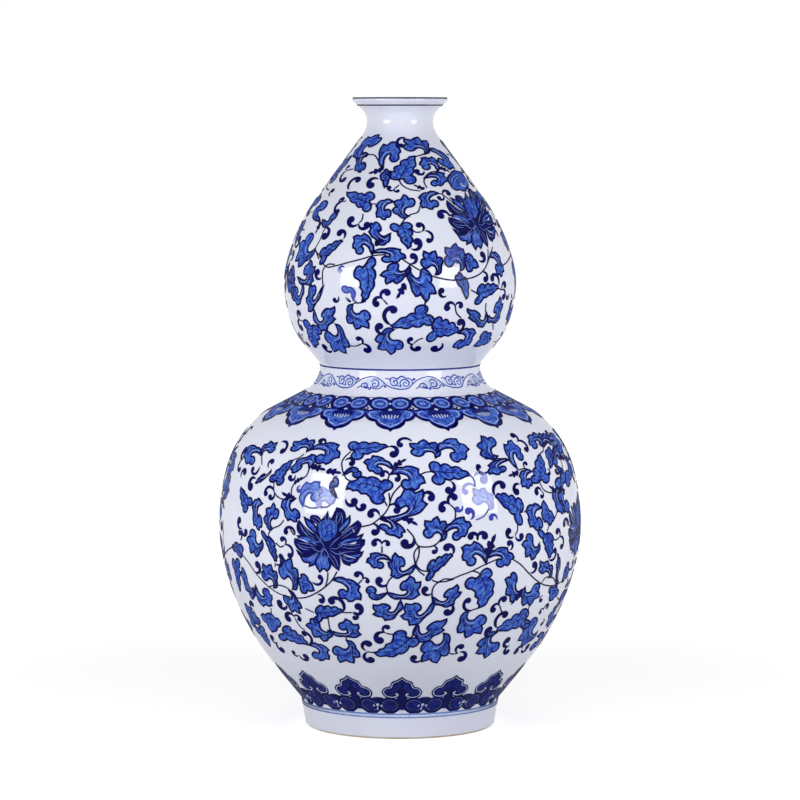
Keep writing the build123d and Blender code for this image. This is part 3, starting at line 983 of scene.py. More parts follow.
def collar_ruyi():
    """One hanging ruyi head of the collar: two round scrolls above a pointed petal with a white fan."""
    edge = [(-2.6, 0.34, 1), (-2.62, -0.1), (-2.36, -0.5), (-1.96, -0.72), (-1.54, -0.78, 1),
            (-1.42, -1.0), (-1.1, -1.22), (-0.66, -1.36), (-0.24, -1.42), (0.0, -1.58, 1)]
    petal = edge + mirrored(edge[:-1])[::-1] + [(1.4, 0.52), (0.0, 0.72), (-1.4, 0.52)]
    inside = [(-2.32, 0.24), (-2.32, -0.08), (-2.1, -0.34), (-1.78, -0.5), (-1.38, -0.56, 1), (-1.2, -0.8),
              (-0.9, -1.0), (-0.46, -1.16), (0.0, -1.28)]
    inside = inside + mirrored(inside[:-1])[::-1] + [(1.3, 0.34), (0.0, 0.1), (-1.3, 0.34)]
    lobe = [(-1.36, 0.2), (-1.86, 0.18), (-2.14, -0.04), (-2.0, -0.28), (-1.6, -0.42)]
    bowl = [(-1.24, -0.46, 1), (-1.1, -0.78), (-0.7, -0.98), (-0.26, -1.1), (0.0, -1.2, 1)]
    ground = [(-1.2, 0.0), (-0.5, 0.28), (0.5, 0.28), (1.2, 0.0), (0.9, -0.36), (0.0, -0.3), (-0.9, -0.36)]
    marks = [fill("navy", petal), fill("wash", inside, rise=2), fill("shade", ground, rise=2)]
    for side in (-1.02, 1.02):
        marks += round_scroll((side, 1.0), 1.18, 0.7)
    marks += strokes("light", both_sides(lobe, bowl), (0.24, 0.52, 0.36), rise=1)
    fan_edge = [(-1.0, -0.36), (-0.5, 0.02), (0.0, 0.12), (0.5, 0.02), (1.0, -0.36)]
    fan_foot = [(-0.36, -0.72), (0.0, -0.86), (0.36, -0.72)]
    lobe_tick = [(-1.5, -0.1), (-1.8, 0.0)]
    marks += strokes("line", [fan_edge, fan_foot, *both_sides(lobe_tick)], (0.4,), rise=1)
    blades = both_sides(
        [(0.16, -0.1), (0.13, -0.54)], [(0.5, -0.12), (0.4, -0.46)], [(0.82, -0.16), (0.66, -0.4)])
    marks += strokes("light", blades, (0.5, 0.95, 0.3), rise=1)
    return marks + [
        fill("light", diamond((0.0, 0.4), 0.24, 0.12), rise=1),
        fill("light", diamond((0.0, 1.0), 0.14, 0.1), rise=2),
        fill("navy", diamond((-2.45, 0.56), 0.35, 0.26)),
        fill("light", diamond((-2.45, 0.56), 0.12, 0.1), rise=1),
    ]


def foot_ruyi():
    """One upright ruyi head above the foot, with its pair of round scrolls and a small white flower beside
    them."""
    half = [(0.0, 1.5, 1), (-0.5, 1.2), (-1.05, 0.97), (-1.22, 0.56), (-1.7, 0.42), (-2.03, 0.0),
            (-1.8, -0.45), (-1.2, -0.68), (-0.6, -0.6), (-0.26, -0.44)]
    head = half + mirrored(half[1:])[::-1]
    rim = [(0.0, 1.32, 1), (-0.42, 1.06), (-0.92, 0.84), (-1.08, 0.46), (-1.6, 0.3), (-1.85, 0.0),
           (-1.66, -0.34), (-1.2, -0.5), (-0.66, -0.46), (-0.42, -0.26), (-0.64, -0.16)]
    heart = [(0.0, 1.08, 1), (-0.4, 0.86), (-0.8, 0.68), (-0.95, 0.36), (-1.42, 0.2), (-1.64, 0.0),
             (-1.46, -0.26), (-1.1, -0.36), (-0.84, -0.2), (-0.62, 0.1), (-0.3, 0.3)]
    marks = [fill("navy", head), fill("shade", heart + mirrored(heart[1:])[::-1], rise=1)]
    for line in (rim, mirrored(rim)):
        marks.append(stroke("light", line, (0.34, 0.5, 0.44, 0.5, 1.0), rise=1))
    inner_curl = [(-0.5, 0.3), (-0.75, 0.5), (-0.55, 0.75), (-0.2, 0.8), (0.0, 0.5)]
    outer_curl = [(-1.1, 0.0), (-1.35, 0.05), (-1.3, -0.2), (-1.05, -0.2)]
    rib = [(0.0, 0.9), (0.0, 0.2)]
    marks += strokes("navy", both_sides(inner_curl, outer_curl, rib), (0.4,), rise=3)
    neck = [(-0.3, -0.4), (0.3, -0.4), (0.6, -0.8), (0.3, -1.75), (-0.3, -1.75), (-0.6, -0.8)]
    link = [(-3.1, -0.72), (-2.45, -0.56), (-1.8, -0.72), (-1.7, -1.4), (-2.45, -1.66), (-3.2, -1.4)]
    marks += [fill("navy", neck), fill("navy", link)]
    for side in (-1.22, 1.22):
        middle = (side, -1.36)
        marks.append(fill("navy", ellipse(middle, 1.16, 0.8)))
        marks.append(fill("shade", ellipse(middle, 0.62, 0.44), rise=1))
        marks.append(stroke("sky", ellipse(middle, 0.76, 0.54), (0.2,), rise=1, closed=True))
        marks.append(stroke("navy", ellipse(middle, 0.34, 0.22), (0.36,), rise=3, closed=True))
    return marks + [
        fill("light", ellipse((-2.45, -1.32), 0.15, 0.14, count=8), rise=1),
        fill("light", ellipse((-2.84, -1.42), 0.11, 0.1, count=8), rise=1),
        fill("light", ellipse((-2.06, -1.42), 0.11, 0.1, count=8), rise=1),
        stroke("light", [(-2.45, -1.5), (-2.45, -1.84)], (0.4, 0.7), rise=1),
    ]


def classic_scroll():
    """One wave of the classic scroll at the waist: a running line with two curls in its bowl and two under
    its arch."""
    wave = [(-3.2, 0.66), (-2.5, 0.54), (-2.0, 0.22), (-1.5, -0.23), (-0.8, -0.55), (0.0, -0.65),
            (0.6, -0.53), (1.0, -0.13), (1.4, 0.24), (2.0, 0.54), (2.6, 0.66)]
    bowl_edge = [(-1.7, 0.47), (-1.3, 0.44), (-1.15, 0.24, 1), (-1.14, 0.48), (-0.8, 0.58),
                 (-0.5, 0.42, 1), (0.0, 0.72), (0.3, 0.56, 1), (0.74, 0.5), (1.0, 0.24), (1.05, -0.05)]
    bowl_left = [(-1.15, 0.24), (-1.05, -0.13), (-0.7, -0.25), (-0.45, 0.02), (-0.62, 0.3), (-0.86, 0.2),
                 (-0.74, 0.02)]
    bowl_right = [(-0.55, -0.22), (-0.1, -0.34, 1), (-0.2, 0.07), (0.1, 0.38), (0.55, 0.3), (0.7, -0.03),
                  (0.5, -0.3), (0.2, -0.23), (0.16, 0.02), (0.36, 0.12), (0.46, -0.03)]
    arch_right = [(-3.1, 0.07), (-2.8, 0.34), (-2.4, 0.18), (-2.34, -0.18), (-2.6, -0.42), (-2.94, -0.36),
                  (-2.96, -0.08), (-2.7, -0.02), (-2.62, -0.18)]
    arch_edge = [(-1.9, -0.2), (-2.2, -0.54), (-2.8, -0.64), (-3.16, -0.46, 1), (-3.3, -0.74),
                 (-3.5, -0.5), (-3.62, -0.62, 1), (-4.0, -0.5), (-4.3, -0.42), (-4.7, -0.66)]
    arch_left = [(-4.3, -0.42), (-4.0, -0.08), (-3.6, -0.14), (-3.56, -0.4), (-3.84, -0.42),
                 (-3.84, -0.24)]
    bowl = [(-1.3, 0.3), (-0.8, 0.56), (0.0, 0.66), (0.8, 0.44), (1.02, 0.0), (0.6, -0.53), (0.0, -0.64),
            (-0.8, -0.54), (-1.4, -0.2)]
    arch = [(-4.2, -0.5), (-3.9, -0.02), (-3.3, 0.4), (-2.7, 0.54), (-2.1, 0.24), (-1.8, -0.2),
            (-2.2, -0.54), (-2.8, -0.64), (-3.5, -0.56)]
    marks = [fill("tint", bowl), fill("tint", arch)]
    lines = (wave, bowl_edge, bowl_left, bowl_right, arch_right, arch_edge, arch_left)
    marks += strokes("pen", lines, (0.5, 0.78, 0.5))
    return marks + [
        fill("pen", [(-1.86, -0.1, 1), (-1.5, -0.42, 1), (-1.7, -0.5)]),
        fill("pen", [(1.0, 0.3, 1), (1.16, 0.56), (1.4, 0.42, 1), (1.22, 0.3)]),
    ]


def rosette():
    """A round blossom beside the lotus: curled petals wrapped one round the other, with a pale tongue."""
    edge = [
        (-1.0, -0.1), (-0.94, 0.34), (-0.72, 0.62, 1), (-0.5, 0.86), (-0.14, 1.0), (0.2, 0.94, 1),
        (0.56, 0.92), (0.86, 0.66), (0.94, 0.34, 1), (1.04, 0.0), (0.94, -0.42), (0.7, -0.6, 1),
        (0.52, -0.86), (0.2, -0.98), (-0.08, -0.86, 1), (-0.42, -0.96), (-0.74, -0.76), (-0.84, -0.48, 1)]
    curls = [
        [(-0.84, -0.48), (-0.8, 0.1), (-0.42, 0.6), (0.2, 0.74), (0.7, 0.5)],
        [(-0.6, -0.66), (-0.6, -0.1), (-0.28, 0.36), (0.24, 0.5), (0.62, 0.26), (0.72, -0.12)],
        [(-0.36, -0.7), (-0.4, -0.24), (-0.14, 0.14), (0.2, 0.24), (0.44, 0.02), (0.4, -0.3)],
        [(-0.1, -0.6), (-0.16, -0.3), (0.02, -0.06), (0.18, -0.1)],
    ]
    crescents = [
        [(-0.72, -0.36), (-0.66, 0.06), (-0.36, 0.44), (0.1, 0.6)],
        [(-0.46, -0.4), (-0.36, 0.04), (-0.02, 0.3)],
        [(0.84, 0.3), (0.88, -0.06), (0.76, -0.36)],
    ]
    marks = outlined(edge)
    marks += strokes("line", curls, (0.3, 0.6, 0.3))
    marks += strokes("sky", crescents, (0.2, 0.5, 0.2))
    marks.append(stroke("light", [(0.06, -0.2), (0.28, -0.44), (0.6, -0.5)], (0.3, 1.1, 0.4)))
    return marks


MOTIFS = {draw.__name__: draw() for draw in (
    arched_leaf, bud_leaf, classic_scroll, collar_ruyi, comma, crook, curl_leaf, fan_leaf, foot_ruyi,
    long_curl_leaf, long_leaf, lotus, rosette, round_leaf, spur)}

# Which of its points are found in the photograph to place a leaf, apart from its base at 0, 0
KEY_POINTS = {
    "arched_leaf": [(1.0, 0.0), (-0.10, 0.32), (0.20, -0.42)],
    "bud_leaf": [(1.0, 0.0), (0.72, 0.50)],
    "curl_leaf": [(1.0, 0.0), (1.08, 1.10), (1.78, 0.66)],
    "fan_leaf": [(1.0, 0.0), (1.54, 0.74), (0.94, 1.32), (0.32, 1.26)],
    "long_curl_leaf": [(1.04, 0.0), (1.88, 0.90), (2.06, 0.22), (1.50, -0.38)],
    "long_leaf": [(1.0, 0.0), (0.04, 0.35), (0.20, -0.42)],
    "round_leaf": [(1.0, 0.0), (0.26, 0.56), (0.34, -0.56)],
}


class Zone:
    """One part of the painting, such as the scroll on the lower bulb: its motifs' places and its strokes."""

    def __init__(self, name):
        self.name = name
        self.spots = []
        self.flats = {}

    def put_motif(self, kind, base, reach, spread, turns):
        """Puts a motif at a place on the skin, and again at each turn round the axis."""
        for turn in turns:
            self.spots.append((kind, base[0] + turn, base[1], *reach, *spread))

    def leaf(self, kind, base, pixels, turns):
        """Puts a motif so that its key points fall on the given pixels as nearly as they can."""
        base_place = skin.seen_at(*base)
        pairs = [(key, pixel) for key, pixel in zip(KEY_POINTS[kind], pixels) if pixel]
        seen = np.array([skin.offset(base_place, skin.seen_at(*pixel)) for _, pixel in pairs])
        fitted = np.linalg.lstsq(np.array([key for key, _ in pairs]), seen, rcond=None)[0]
        self.put_motif(kind, base_place, fitted[0], fitted[1], turns)

    def hook(self, kind, tail, head, side, turns):
        """Puts a motif from its tail to its head, with its belly on the left or, for side -1, the right."""
        base_place = skin.seen_at(*tail)
        reach = skin.offset(base_place, skin.seen_at(*head))
        self.put_motif(kind, base_place, reach, side * np.array((-reach[1], reach[0])), turns)

    def line(self, tone, places, widths, turns=(0,)):
        """A stroke through places on the skin, each an angle and a length, with every point of it anchored
        where it lies."""
        places = np.array(places)
        scale = np.array((skin.radius(places[:, 1].mean()), 1.0))
        path = smooth_line(places * scale, PATH_STEP)
        flat = self.flats.setdefault(tone, Flat())
        for turn in turns:
            anchors = path / scale + (turn, 0)
            flow = np.column_stack((anchors[:, 0] * skin.radius(anchors[:, 1]), anchors[:, 1]))
            first = len(flat.places)
            flat.add_stroke(flow, widths_along(path, widths), lift_of(tone, 0), anchors=anchors)
            flat.places[first:] = [(0.0, 0.0)] * (len(flat.places) - first)


def put_anchors(mesh, anchors, reach, spread):
    """Gives each point its place on the skin, and what one unit to the right and one up come to there."""
    put(mesh, "around", "FLOAT", anchors[:, 0])
    put(mesh, "along", "FLOAT", anchors[:, 1])
    for name, rows in (("reach", reach), ("spread", spread)):
        put(mesh, name, "FLOAT_VECTOR", np.column_stack((rows, np.zeros(len(rows)))))


def places_object(zone, motifs):
    """Loose points with the numbers that place each motif of a zone on the skin."""
    kinds = sorted(motifs)
    spots = [spot for spot in zone.spots if spot[0] in motifs]
    mesh = bpy.data.meshes.new("places")
    mesh.vertices.add(len(spots))
    rows = np.array([spot[1:] for spot in spots], float).reshape(-1, 6)
    put(mesh, "kind", "INT", [kinds.index(spot[0]) for spot in spots])
    put_anchors(mesh, rows[:, :2], rows[:, 2:4], rows[:, 4:6])
    return bpy.data.objects.new("places", mesh)


def strokes_object(flat):
    """A zone's own strokes of one tone, each point anchored where it lies on the skin."""
    mesh = flat.mesh("strokes")
    anchors = np.array(flat.anchors).reshape(-1, 2)
    count = len(anchors)
    put_anchors(mesh, anchors, np.tile((1.0, 0.0), (count, 1)), np.tile((0.0, 1.0), (count, 1)))
    return bpy.data.objects.new("strokes", mesh)


# The attributes that only the nodes need
HELPERS = ("kind", "around", "along", "reach", "spread", "heading", "half", "lift", "outward")


def painted_piece(name, places, motifs, own_strokes, tree, outline, colour):
    """Lets the nodes roll one tone of a zone on, and keeps what they make as a plain mesh."""
    host = bpy.data.objects.new(name + "_nodes", places.data)
    bpy.context.scene.collection.objects.link(host)
    modifier = host.modifiers.new("roll on", "NODES")
    modifier.node_group = tree
    given = {"Motifs": motifs, "Strokes": own_strokes, "Outline": outline, "Colour": colour}
    for item in tree.interface.items_tree:
        if item.name in given:
            modifier[item.identifier] = given[item.name]
    bpy.context.view_layer.update()
    evaluated = host.evaluated_get(bpy.context.evaluated_depsgraph_get())
    mesh = bpy.data.meshes.new_from_object(evaluated)
    bpy.data.objects.remove(host)
    outward = np.zeros(len(mesh.vertices) * 3, np.float32)
    mesh.attributes["outward"].data.foreach_get("vector", outward)
    mesh.normals_split_custom_set_from_vertices(outward.reshape(-1, 3))
    for helper in HELPERS:
        if helper in mesh.attributes:
            mesh.attributes.remove(mesh.attributes[helper])
    piece = bpy.data.objects.new(name, mesh)
    bpy.context.scene.collection.objects.link(piece)
    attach(piece, "root")
    return piece


def paint(zone, tree, outline, colours):
    """Makes a zone's pieces, one for each tone that it uses."""
    used = {spot[0] for spot in zone.spots}
    drawn = {kind: motif_meshes(kind, MOTIFS[kind]) for kind in sorted(used)}
    tones = {tone for meshes in drawn.values() for tone in meshes} | set(zone.flats)
    for tone in sorted(tones):
        meshes = {kind: parts[tone] for kind, parts in drawn.items() if tone in parts}
        motifs = bpy.data.collections.new(zone.name + "_" + tone)
        for kind in sorted(meshes):
            motifs.objects.link(bpy.data.objects.new(kind, meshes[kind]))
        places = places_object(zone, meshes)
        own_strokes = strokes_object(zone.flats.get(tone, Flat()))
        painted_piece(zone.name + "_" + tone, places, motifs, own_strokes, tree, outline, colours[tone])


# The scroll on the lower bulb, in pixels of the photograph. Each leaf: its base, then its key points in the
# order above, with None for one that can't be seen. A spur has only its base and its tip.
LOWER_LEAVES = {
    "long_leaf": [
        [(257, 624), (244.5, 603.5), (261, 621), (252.5, 625)],
        [(351, 450), (388, 447), (352, 441.5), (358.5, 459)],
        [(432, 471.5), (470.5, 475.5), (430, 461), (437, 484)],
        [(274, 482), (294, 459), (267.5, 484.5), (281, 488)],
        [(428, 571), (452.5, 555.5), (430, 562), (429, 580.5)],
        [(539.5, 482), (540, 453.5), (531, 484), (549.5, 481.5)],
        [(522, 512), (495.5, 496.5), (521, 499.5), (518.5, 524.5)],
        [(546.5, 533), (548.5, 558.5), (554, 533), (538.5, 529)],
        [(268, 536.5), (275, 562), (275.5, 537.5), (262.5, 528.5)],
        [(316, 613.5), (343, 612), (318, 604), (316, 621.5)],
        [(282.5, 631), (308, 645), (285.5, 623.5), (279.5, 638)],
        [(528, 616), (497, 631), (522, 610), (524, 629)],
        [(248, 508), (241, 487), (244, 513), (252, 500)],
        [(236, 560), (240, 592), (241, 560), (233, 562)],
        [(259, 627), (270, 646), (263, 628), (256.5, 631)],
    ],
    "arched_leaf": [
        [(386, 491), (346.5, 489), (390, 480.5), (377, 503.5)],
        [(410.5, 638), (374, 652.5), (420.5, 643), (399, 630.5)],
        [(480, 575), (478, 608), (495.5, 569.5), (469, 584)],
    ],
    "curl_leaf": [
        [(392.5, 469), (378.5, 468), (373, 455.5), (364.5, 464.5)],
        [(391.5, 474), (407.5, 483.5), (418.5, 469.5), (423, 483)],
        [(437.5, 452), (456, 456), (456.5, 439.5), (467, 450)],
        [(311, 449.5), (320, 460), (338, 446.5), (338.5, 456)],
        [(309, 468), (297.5, 470.5), (311, 456), (297, 460)],
        [(443, 534), (458.5, 533.5), (464.5, 517), (469, 527.5)],
        [(486, 563), (471, 560), (473.5, 542), (463, 549)],
        [(487, 558), (500, 566), (507, 550.5), (513.5, 554.5)],
        [(382, 517), (389, 526), (406.5, 531), (395, 538.5)],
        [(390, 560), (380, 566), (371, 555), (367.5, 561)],
        [(333.5, 580), (344.5, 594), (360, 587), (358.5, 598.5)],
        [(508, 460), (500, 469), (487.5, 466), (492, 473.5)],
        [(517, 468), (520, 455), (505, 444.5), (511, 442)],
        [(531, 471.5), (528.5, 481), (519, 476), (524, 487)],
        [(543, 446), (536, 447), (534, 434), (527, 436)],
        [(541, 508), (537, 520.5), (525, 511), (533, 527.5)],
        [(256, 586), (267, 590), (264, 604.5), (270.5, 606.5)],
        [(309, 645), (315.5, 655), (328, 650), (328.5, 658.5)],
        [(262, 454), (249, 456), (248, 445), (246, 460)],
        [(271, 471), (258, 473), (258, 480), (260, 485.5)],
        [(262, 504), (258.5, 519.5), (252, 507), (255.5, 525)],
        [(295, 499), (296, 515), (282, 508), (288, 518)],
        [(560, 491), (562, 504), (553, 498), (558, 512)],
        [(545, 445), (557, 449), (548, 434), (558, 452)],
    ],
    "long_curl_leaf": [
        [(381, 518.5), (402.5, 501), (426.5, 503.5), (420.5, 492)],
        [(388, 592.5), (402, 587), (418.5, 593.5), (421.2, 583), (409.8, 576)],
        [(433, 597), (446, 589), (454, 603), (460.5, 594.5), (457.5, 586)],
        [(415, 564.5), (405, 559.5), (391, 574.5), (388.5, 564), (394, 554)],
        [(329, 630.5), (343, 628), (360, 634), (357.5, 624), (345.5, 619.5)],
        [(400, 601), (389, 604.5), (384.5, 619.5), (374, 615), (372.5, 605.5)],
        [(433.5, 601), (420, 608), (409, 623.5), (402, 617), (405, 603)],
        [(418, 624), (433, 620), (429.5, 639.5), (441.5, 633.5), (447, 619.5)],
    ],
    "fan_leaf": [
        [(435.5, 457), (416.5, 455), (411.5, 443), (423.5, 440), (434.5, 444)],
        [(441.5, 540), (428.5, 534), (425.5, 521.5), (437, 517.5), (445, 522)],
        [(307, 451), (294, 451), (295, 441), (306.5, 438), (312.5, 442)],
        [(497, 456), (494, 443), (481, 436.5), (476.5, 445), (482.5, 456)],
        [(539, 544), (531, 536), (522, 545.5), (525.5, 557), (533, 557.5)],
        [(262, 541), (253, 533), (247.5, 540.5), (250.5, 552), (256.5, 555.5)],
        [(549, 577), (541, 572.5), (540.5, 561), (548.5, 560), (551, 568)],
        [(274, 587), (266, 577.5), (262.5, 564), (270.5, 565), (277, 573)],
        [(521, 590), (516.5, 575), (503.5, 582), (507.5, 592.5)],
        [(253, 588), (244.5, 569), (241, 578), (246, 587)],
        [(293, 588.5), (283.5, 573), None, (289, 561), (299, 569)],
        [(289.5, 591), (288.5, 600), None, (296, 611.5), (305.5, 608.5)],
        [(330, 630), (319, 625.5), (305, 622.5), (313, 638), (326.5, 640.5)],
        [(347, 641), (336.5, 649.5), (341, 662.5), (353, 661), (359, 657)],
        [(444, 634), (427, 646), (423, 661), (435.5, 661), (447.5, 655.5)],
        [(468, 612), (480.5, 619.5), (480, 632), (468, 638), (456.5, 631)],
        [(525, 588), (537, 587), (538, 597), (530, 604), (524, 605.5)],
        [(496, 633), (496, 645.5), (485, 657.5), (476.5, 653.5), (478, 643)],
        [(537, 632), (534, 620), (525, 628), (515.5, 639.5), (524, 644)],
        [(272, 528), (275, 515), (274.5, 505), (266.5, 506), (264, 521)],
        [(262, 455), (272, 454), (277, 441), (270, 441), (265, 447)],
        [(558, 582), (556, 567), (561, 551), (554.5, 567), (556, 575)],
    ],
    "round_leaf": [
        [(299, 581), (312, 590), (306.5, 575), (304.5, 592)],
        [(270, 614), (272.5, 633), (279, 619), (261, 612)],
        [(550, 524), (545, 505), (541, 512), (552, 512)],
        [(236, 543), (240, 557), (243, 547), (233, 547)],
        [(549, 448), (550.5, 466), (553, 457), (545, 455)],
        [(556, 587), (550, 599), (557, 595), (549, 590)],
    ],
    "bud_leaf": [
        [(555.5, 466), (560.5, 482), (564.5, 474)],
        [(563, 454), (568.5, 477), (570, 467)],
        [(336.5, 497), (334.5, 483), (330.5, 489)],
        [(344, 474.5), (356.5, 473), (352, 468)],
        [(386, 593.5), (371.5, 592), (375.5, 599)],
    ],
    "spur": [
        [(393.5, 467.5), (407, 459)],
        [(402, 517.5), (418, 525.5)],
        [(487, 557), (496, 533.5)],
        [(518.5, 471.5), (508, 476)],
        [(521, 590), (510.5, 605)],
        [(311, 467), (326, 470.5)],
        [(326, 471.5), (342, 473.5)],
        [(295, 499), (281.5, 492)],
        [(556.5, 491), (548.5, 485.5)],
        [(294, 484), (303, 477)],
        [(256, 587), (253.5, 598)],
    ],
}

# Each hook: its tail, its head, and 1 where it bulges to the left on the way to its head, or -1 to the right
LOWER_HOOKS = [
    [(412, 442), (399.5, 445), -1], [(388, 447), (393.5, 454.5), 1], [(345, 461), (352, 463.5), 1],
    [(450, 481), (448.5, 490.5), 1], [(422, 497), (431.5, 498), 1], [(389, 476.5), (382, 474.5), -1],
    [(392, 475), (397.5, 479.5), 1], [(379.5, 516), (370.5, 514.5), -1], [(389, 506.5), (397, 510.5), 1],
    [(346, 498), (354.5, 501.5), -1], [(356, 503), (363.5, 506.5), -1], [(451, 506), (442, 509), -1],
    [(450.5, 505), (454.5, 497), 1], [(413, 536), (404.5, 543.5), 1], [(432.5, 546), (434, 552), 1],
    [(452, 555), (446.5, 547.5), -1], [(432, 593), (425, 589), 1], [(477.5, 541), (470.5, 536.5), -1],
    [(477.5, 541), (485, 536), 1], [(509.5, 550.5), (509, 543), -1], [(514, 536), (508.5, 531), 1],
    [(515.5, 535.5), (521.5, 536), -1], [(381.8, 545), (374, 543.5), -1], [(381.8, 545), (388, 544), 1],
    [(372, 524), (374.5, 532.5), 1], [(362, 580), (356.5, 574.5), -1], [(362, 580), (367.5, 581.5), 1],
    [(388, 583), (379, 580), 1], [(488.5, 470), (478, 466.5), 1], [(517, 442), (512.4, 435.5), -1],
    [(517.5, 441.5), (526.5, 450), 1], [(525.5, 468.5), (526, 463.5), 1],
    [(520, 484.5), (516.5, 492), -1], [(495.5, 496.5), (503, 485), 1], [(541.5, 492), (536.5, 492.5), -1],
    [(541.5, 491), (541.5, 496.5), 1], [(547, 469), (549, 474), 1], [(549, 559), (555, 550), -1],
    [(559, 538), (557, 531.5), -1], [(559.5, 537), (561.5, 547), 1], [(530, 572.5), (534.5, 564.5), -1],
    [(284.5, 545.5), (282, 539), -1], [(285, 545), (290, 556), 1], [(275.5, 563.5), (281, 556), -1],
    [(295, 536), (285.5, 531.5), -1], [(242, 528), (239.5, 520), 1], [(242, 528), (246, 532), -1],
    [(240, 540), (239.8, 532.5), -1], [(255, 571.5), (257.5, 564.5), -1],
    [(312, 581.5), (320.5, 577), -1], [(287, 604), (279.5, 603), 1], [(317, 594.5), (321.5, 601), 1],
    [(343, 612), (331, 600.5), -1], [(352, 613), (358.5, 606.5), -1], [(352, 612), (355, 618), 1],
    [(295, 617.5), (288, 618.5), -1], [(294, 617), (299.5, 619.5), 1], [(308.5, 644.5), (304, 633), -1],
    [(298.5, 655), (293.5, 652), 1], [(299, 655), (306, 656.5), -1], [(277.5, 643), (272, 637), 1],
    [(277.5, 642), (282.5, 650), -1], [(449, 603.5), (447, 612.5), 1], [(473, 610), (468, 600), 1],
    [(386, 633), (387.5, 627), 1], [(386, 633), (379.5, 640.5), -1], [(366.5, 651), (368.5, 643.5), 1],
    [(368, 652), (371, 660), -1], [(422, 659), (413.5, 657.5), 1], [(458, 653), (461.5, 646.5), 1],
    [(459, 652), (461, 659), 1], [(500, 606.5), (504.5, 599), 1], [(500, 605.5), (493, 610), -1],
    [(497.5, 628), (505.5, 614), 1], [(493, 635), (489, 629.5), 1], [(510, 645), (507.5, 640), 1],
    [(510, 645), (507, 652), -1], [(522, 649), (516, 651.5), -1], [(522, 649), (527.5, 646.5), -1],
    [(543.5, 610), (540, 612.5), -1], [(543.5, 610), (547.5, 606.5), 1], [(543.5, 619), (541.5, 624), 1],
    [(543, 595), (541, 600.5), -1], [(324, 445), (320.5, 441), -1], [(281, 442), (282.5, 451.5), 1],
    [(295.5, 474.5), (290, 477.5), 1], [(274, 492), (265.5, 493.5), -1], [(274, 492), (270, 497), 1],
    [(269, 468), (272.5, 461.5), 1], [(260, 466), (252.5, 469.5), 1], [(256, 479), (250.5, 487), -1],
    [(241, 478), (245, 472), 1], [(243.5, 459), (245.5, 450), 1], [(243, 459), (239.5, 470), -1],
    [(254, 611), (252, 603.5), 1],
]

# Each stem: the points that it runs through
LOWER_STEMS = [
    [(392, 472), (389, 476), (388, 480), (388.5, 484)],
    [(389, 493), (389.5, 498), (390, 502), (389, 506), (385, 513), (380, 518), (372, 524), (360, 527)],
    [(381, 499), (385, 502), (387, 506)],
    [(403, 483), (398, 488), (393, 494), (390, 502)],
    [(419.5, 475), (425, 472.5), (432, 471.5)],
    [(351, 451.5), (345, 457), (342, 462), (342, 467), (343.5, 473), (348, 480), (353, 481.5)],
    [(455, 520), (455.5, 516), (455, 510), (451, 505)],
    [(407, 529), (413, 536), (418.5, 546), (425, 547), (434, 545.5), (439.5, 541), (442, 537)],
    [(418.5, 546.5), (414.5, 552), (415, 564)],
    [(419, 546.5), (419, 554), (415.5, 564)],
    [(415.5, 564.5), (421, 570), (428, 571.5)],
    [(415, 566), (419, 571), (424.5, 575.5)],
    [(432, 580), (438, 582), (444, 579), (451, 579), (459, 576), (472, 571), (484, 565), (499, 558.5)],
    [(454, 579), (445, 581.5), (438, 582.5), (433.5, 587), (432, 593), (433.5, 601)],
    [(512.5, 559), (520, 564), (529, 573.5), (536, 580), (541, 583.5), (547, 585.5), (555, 585),
     (562, 581), (567, 576)],
    [(541, 583.5), (545, 578), (550, 577), (554, 579), (555.5, 584), (556, 588)],
    [(485.5, 564.5), (485, 560), (482, 556)],
    [(472, 571), (477, 572), (481, 575)],
    [(395, 575), (390, 579), (386.5, 587), (388, 593)],
    [(328, 572.5), (327.5, 579), (325.5, 586)],
    [(337, 571.5), (333, 579), (325, 587), (316, 593), (307, 597), (301, 598), (291, 597), (278, 593),
     (268, 586), (255, 572), (249, 563), (243, 555.5), (238, 550), (234.5, 547), (230, 548.5), (225, 554)],
    [(268, 587), (277, 585), (283, 586), (290, 590), (295, 597)],
    [(305.5, 608.5), (314, 612.5)],
    [(417.5, 623), (415, 631), (411, 637.5)],
    [(393, 634), (389, 634), (386, 633)],
    [(374, 652.5), (370, 652), (367, 651.5)],
    [(448, 652), (452, 654), (458, 653)],
    [(477.5, 608.5), (472, 610), (468, 612)],
    [(530, 605), (527, 612), (525, 618), (525, 626)],
    [(497.5, 629), (494, 634)],
    [(500, 606), (501.5, 612)],
    [(485, 459), (506, 458.5), (512, 464), (519, 470)],
    [(519, 470), (525, 468.5), (532, 472)],
    [(540, 453.5), (543, 451), (543, 445)],
    [(540, 483), (543, 489), (549, 492.5), (554, 492.5), (560, 491), (565, 494)],
    [(547, 531), (549, 526), (553, 521), (556, 515), (557, 510)],
    [(517.5, 525), (517.5, 530), (515, 535.5)],
    [(552, 538), (555, 540), (559, 537.5)],
    [(524, 512), (530, 510)],
    [(304, 454), (299, 458), (294, 459.5)],
    [(309, 469), (307, 475), (302, 479), (294, 484), (291.5, 490), (291.5, 495), (295, 499)],
    [(262, 454), (262, 465)],
    [(274, 483), (274, 491), (278, 497), (285, 499.5), (293, 499)],
    [(284, 520), (280, 525), (273, 528.5), (269, 533), (268, 537)],
    [(276, 543), (281, 547), (284, 545.5)],
    [(252, 507), (258, 507)],
    [(271, 608), (271.5, 614)],
    [(254, 611), (259, 621)],
    [(305, 630.5), (299, 625), (295, 618)],
    [(275, 567), (275.5, 563)],
    [(328, 618), (330, 630)],
    [(346, 637), (347, 641)],
    [(290, 529), (294, 535)],
    [(358.5, 583.5), (362, 580)],
    [(382, 553), (382, 546)],
    [(343.5, 612.5), (352, 612.5)],
]

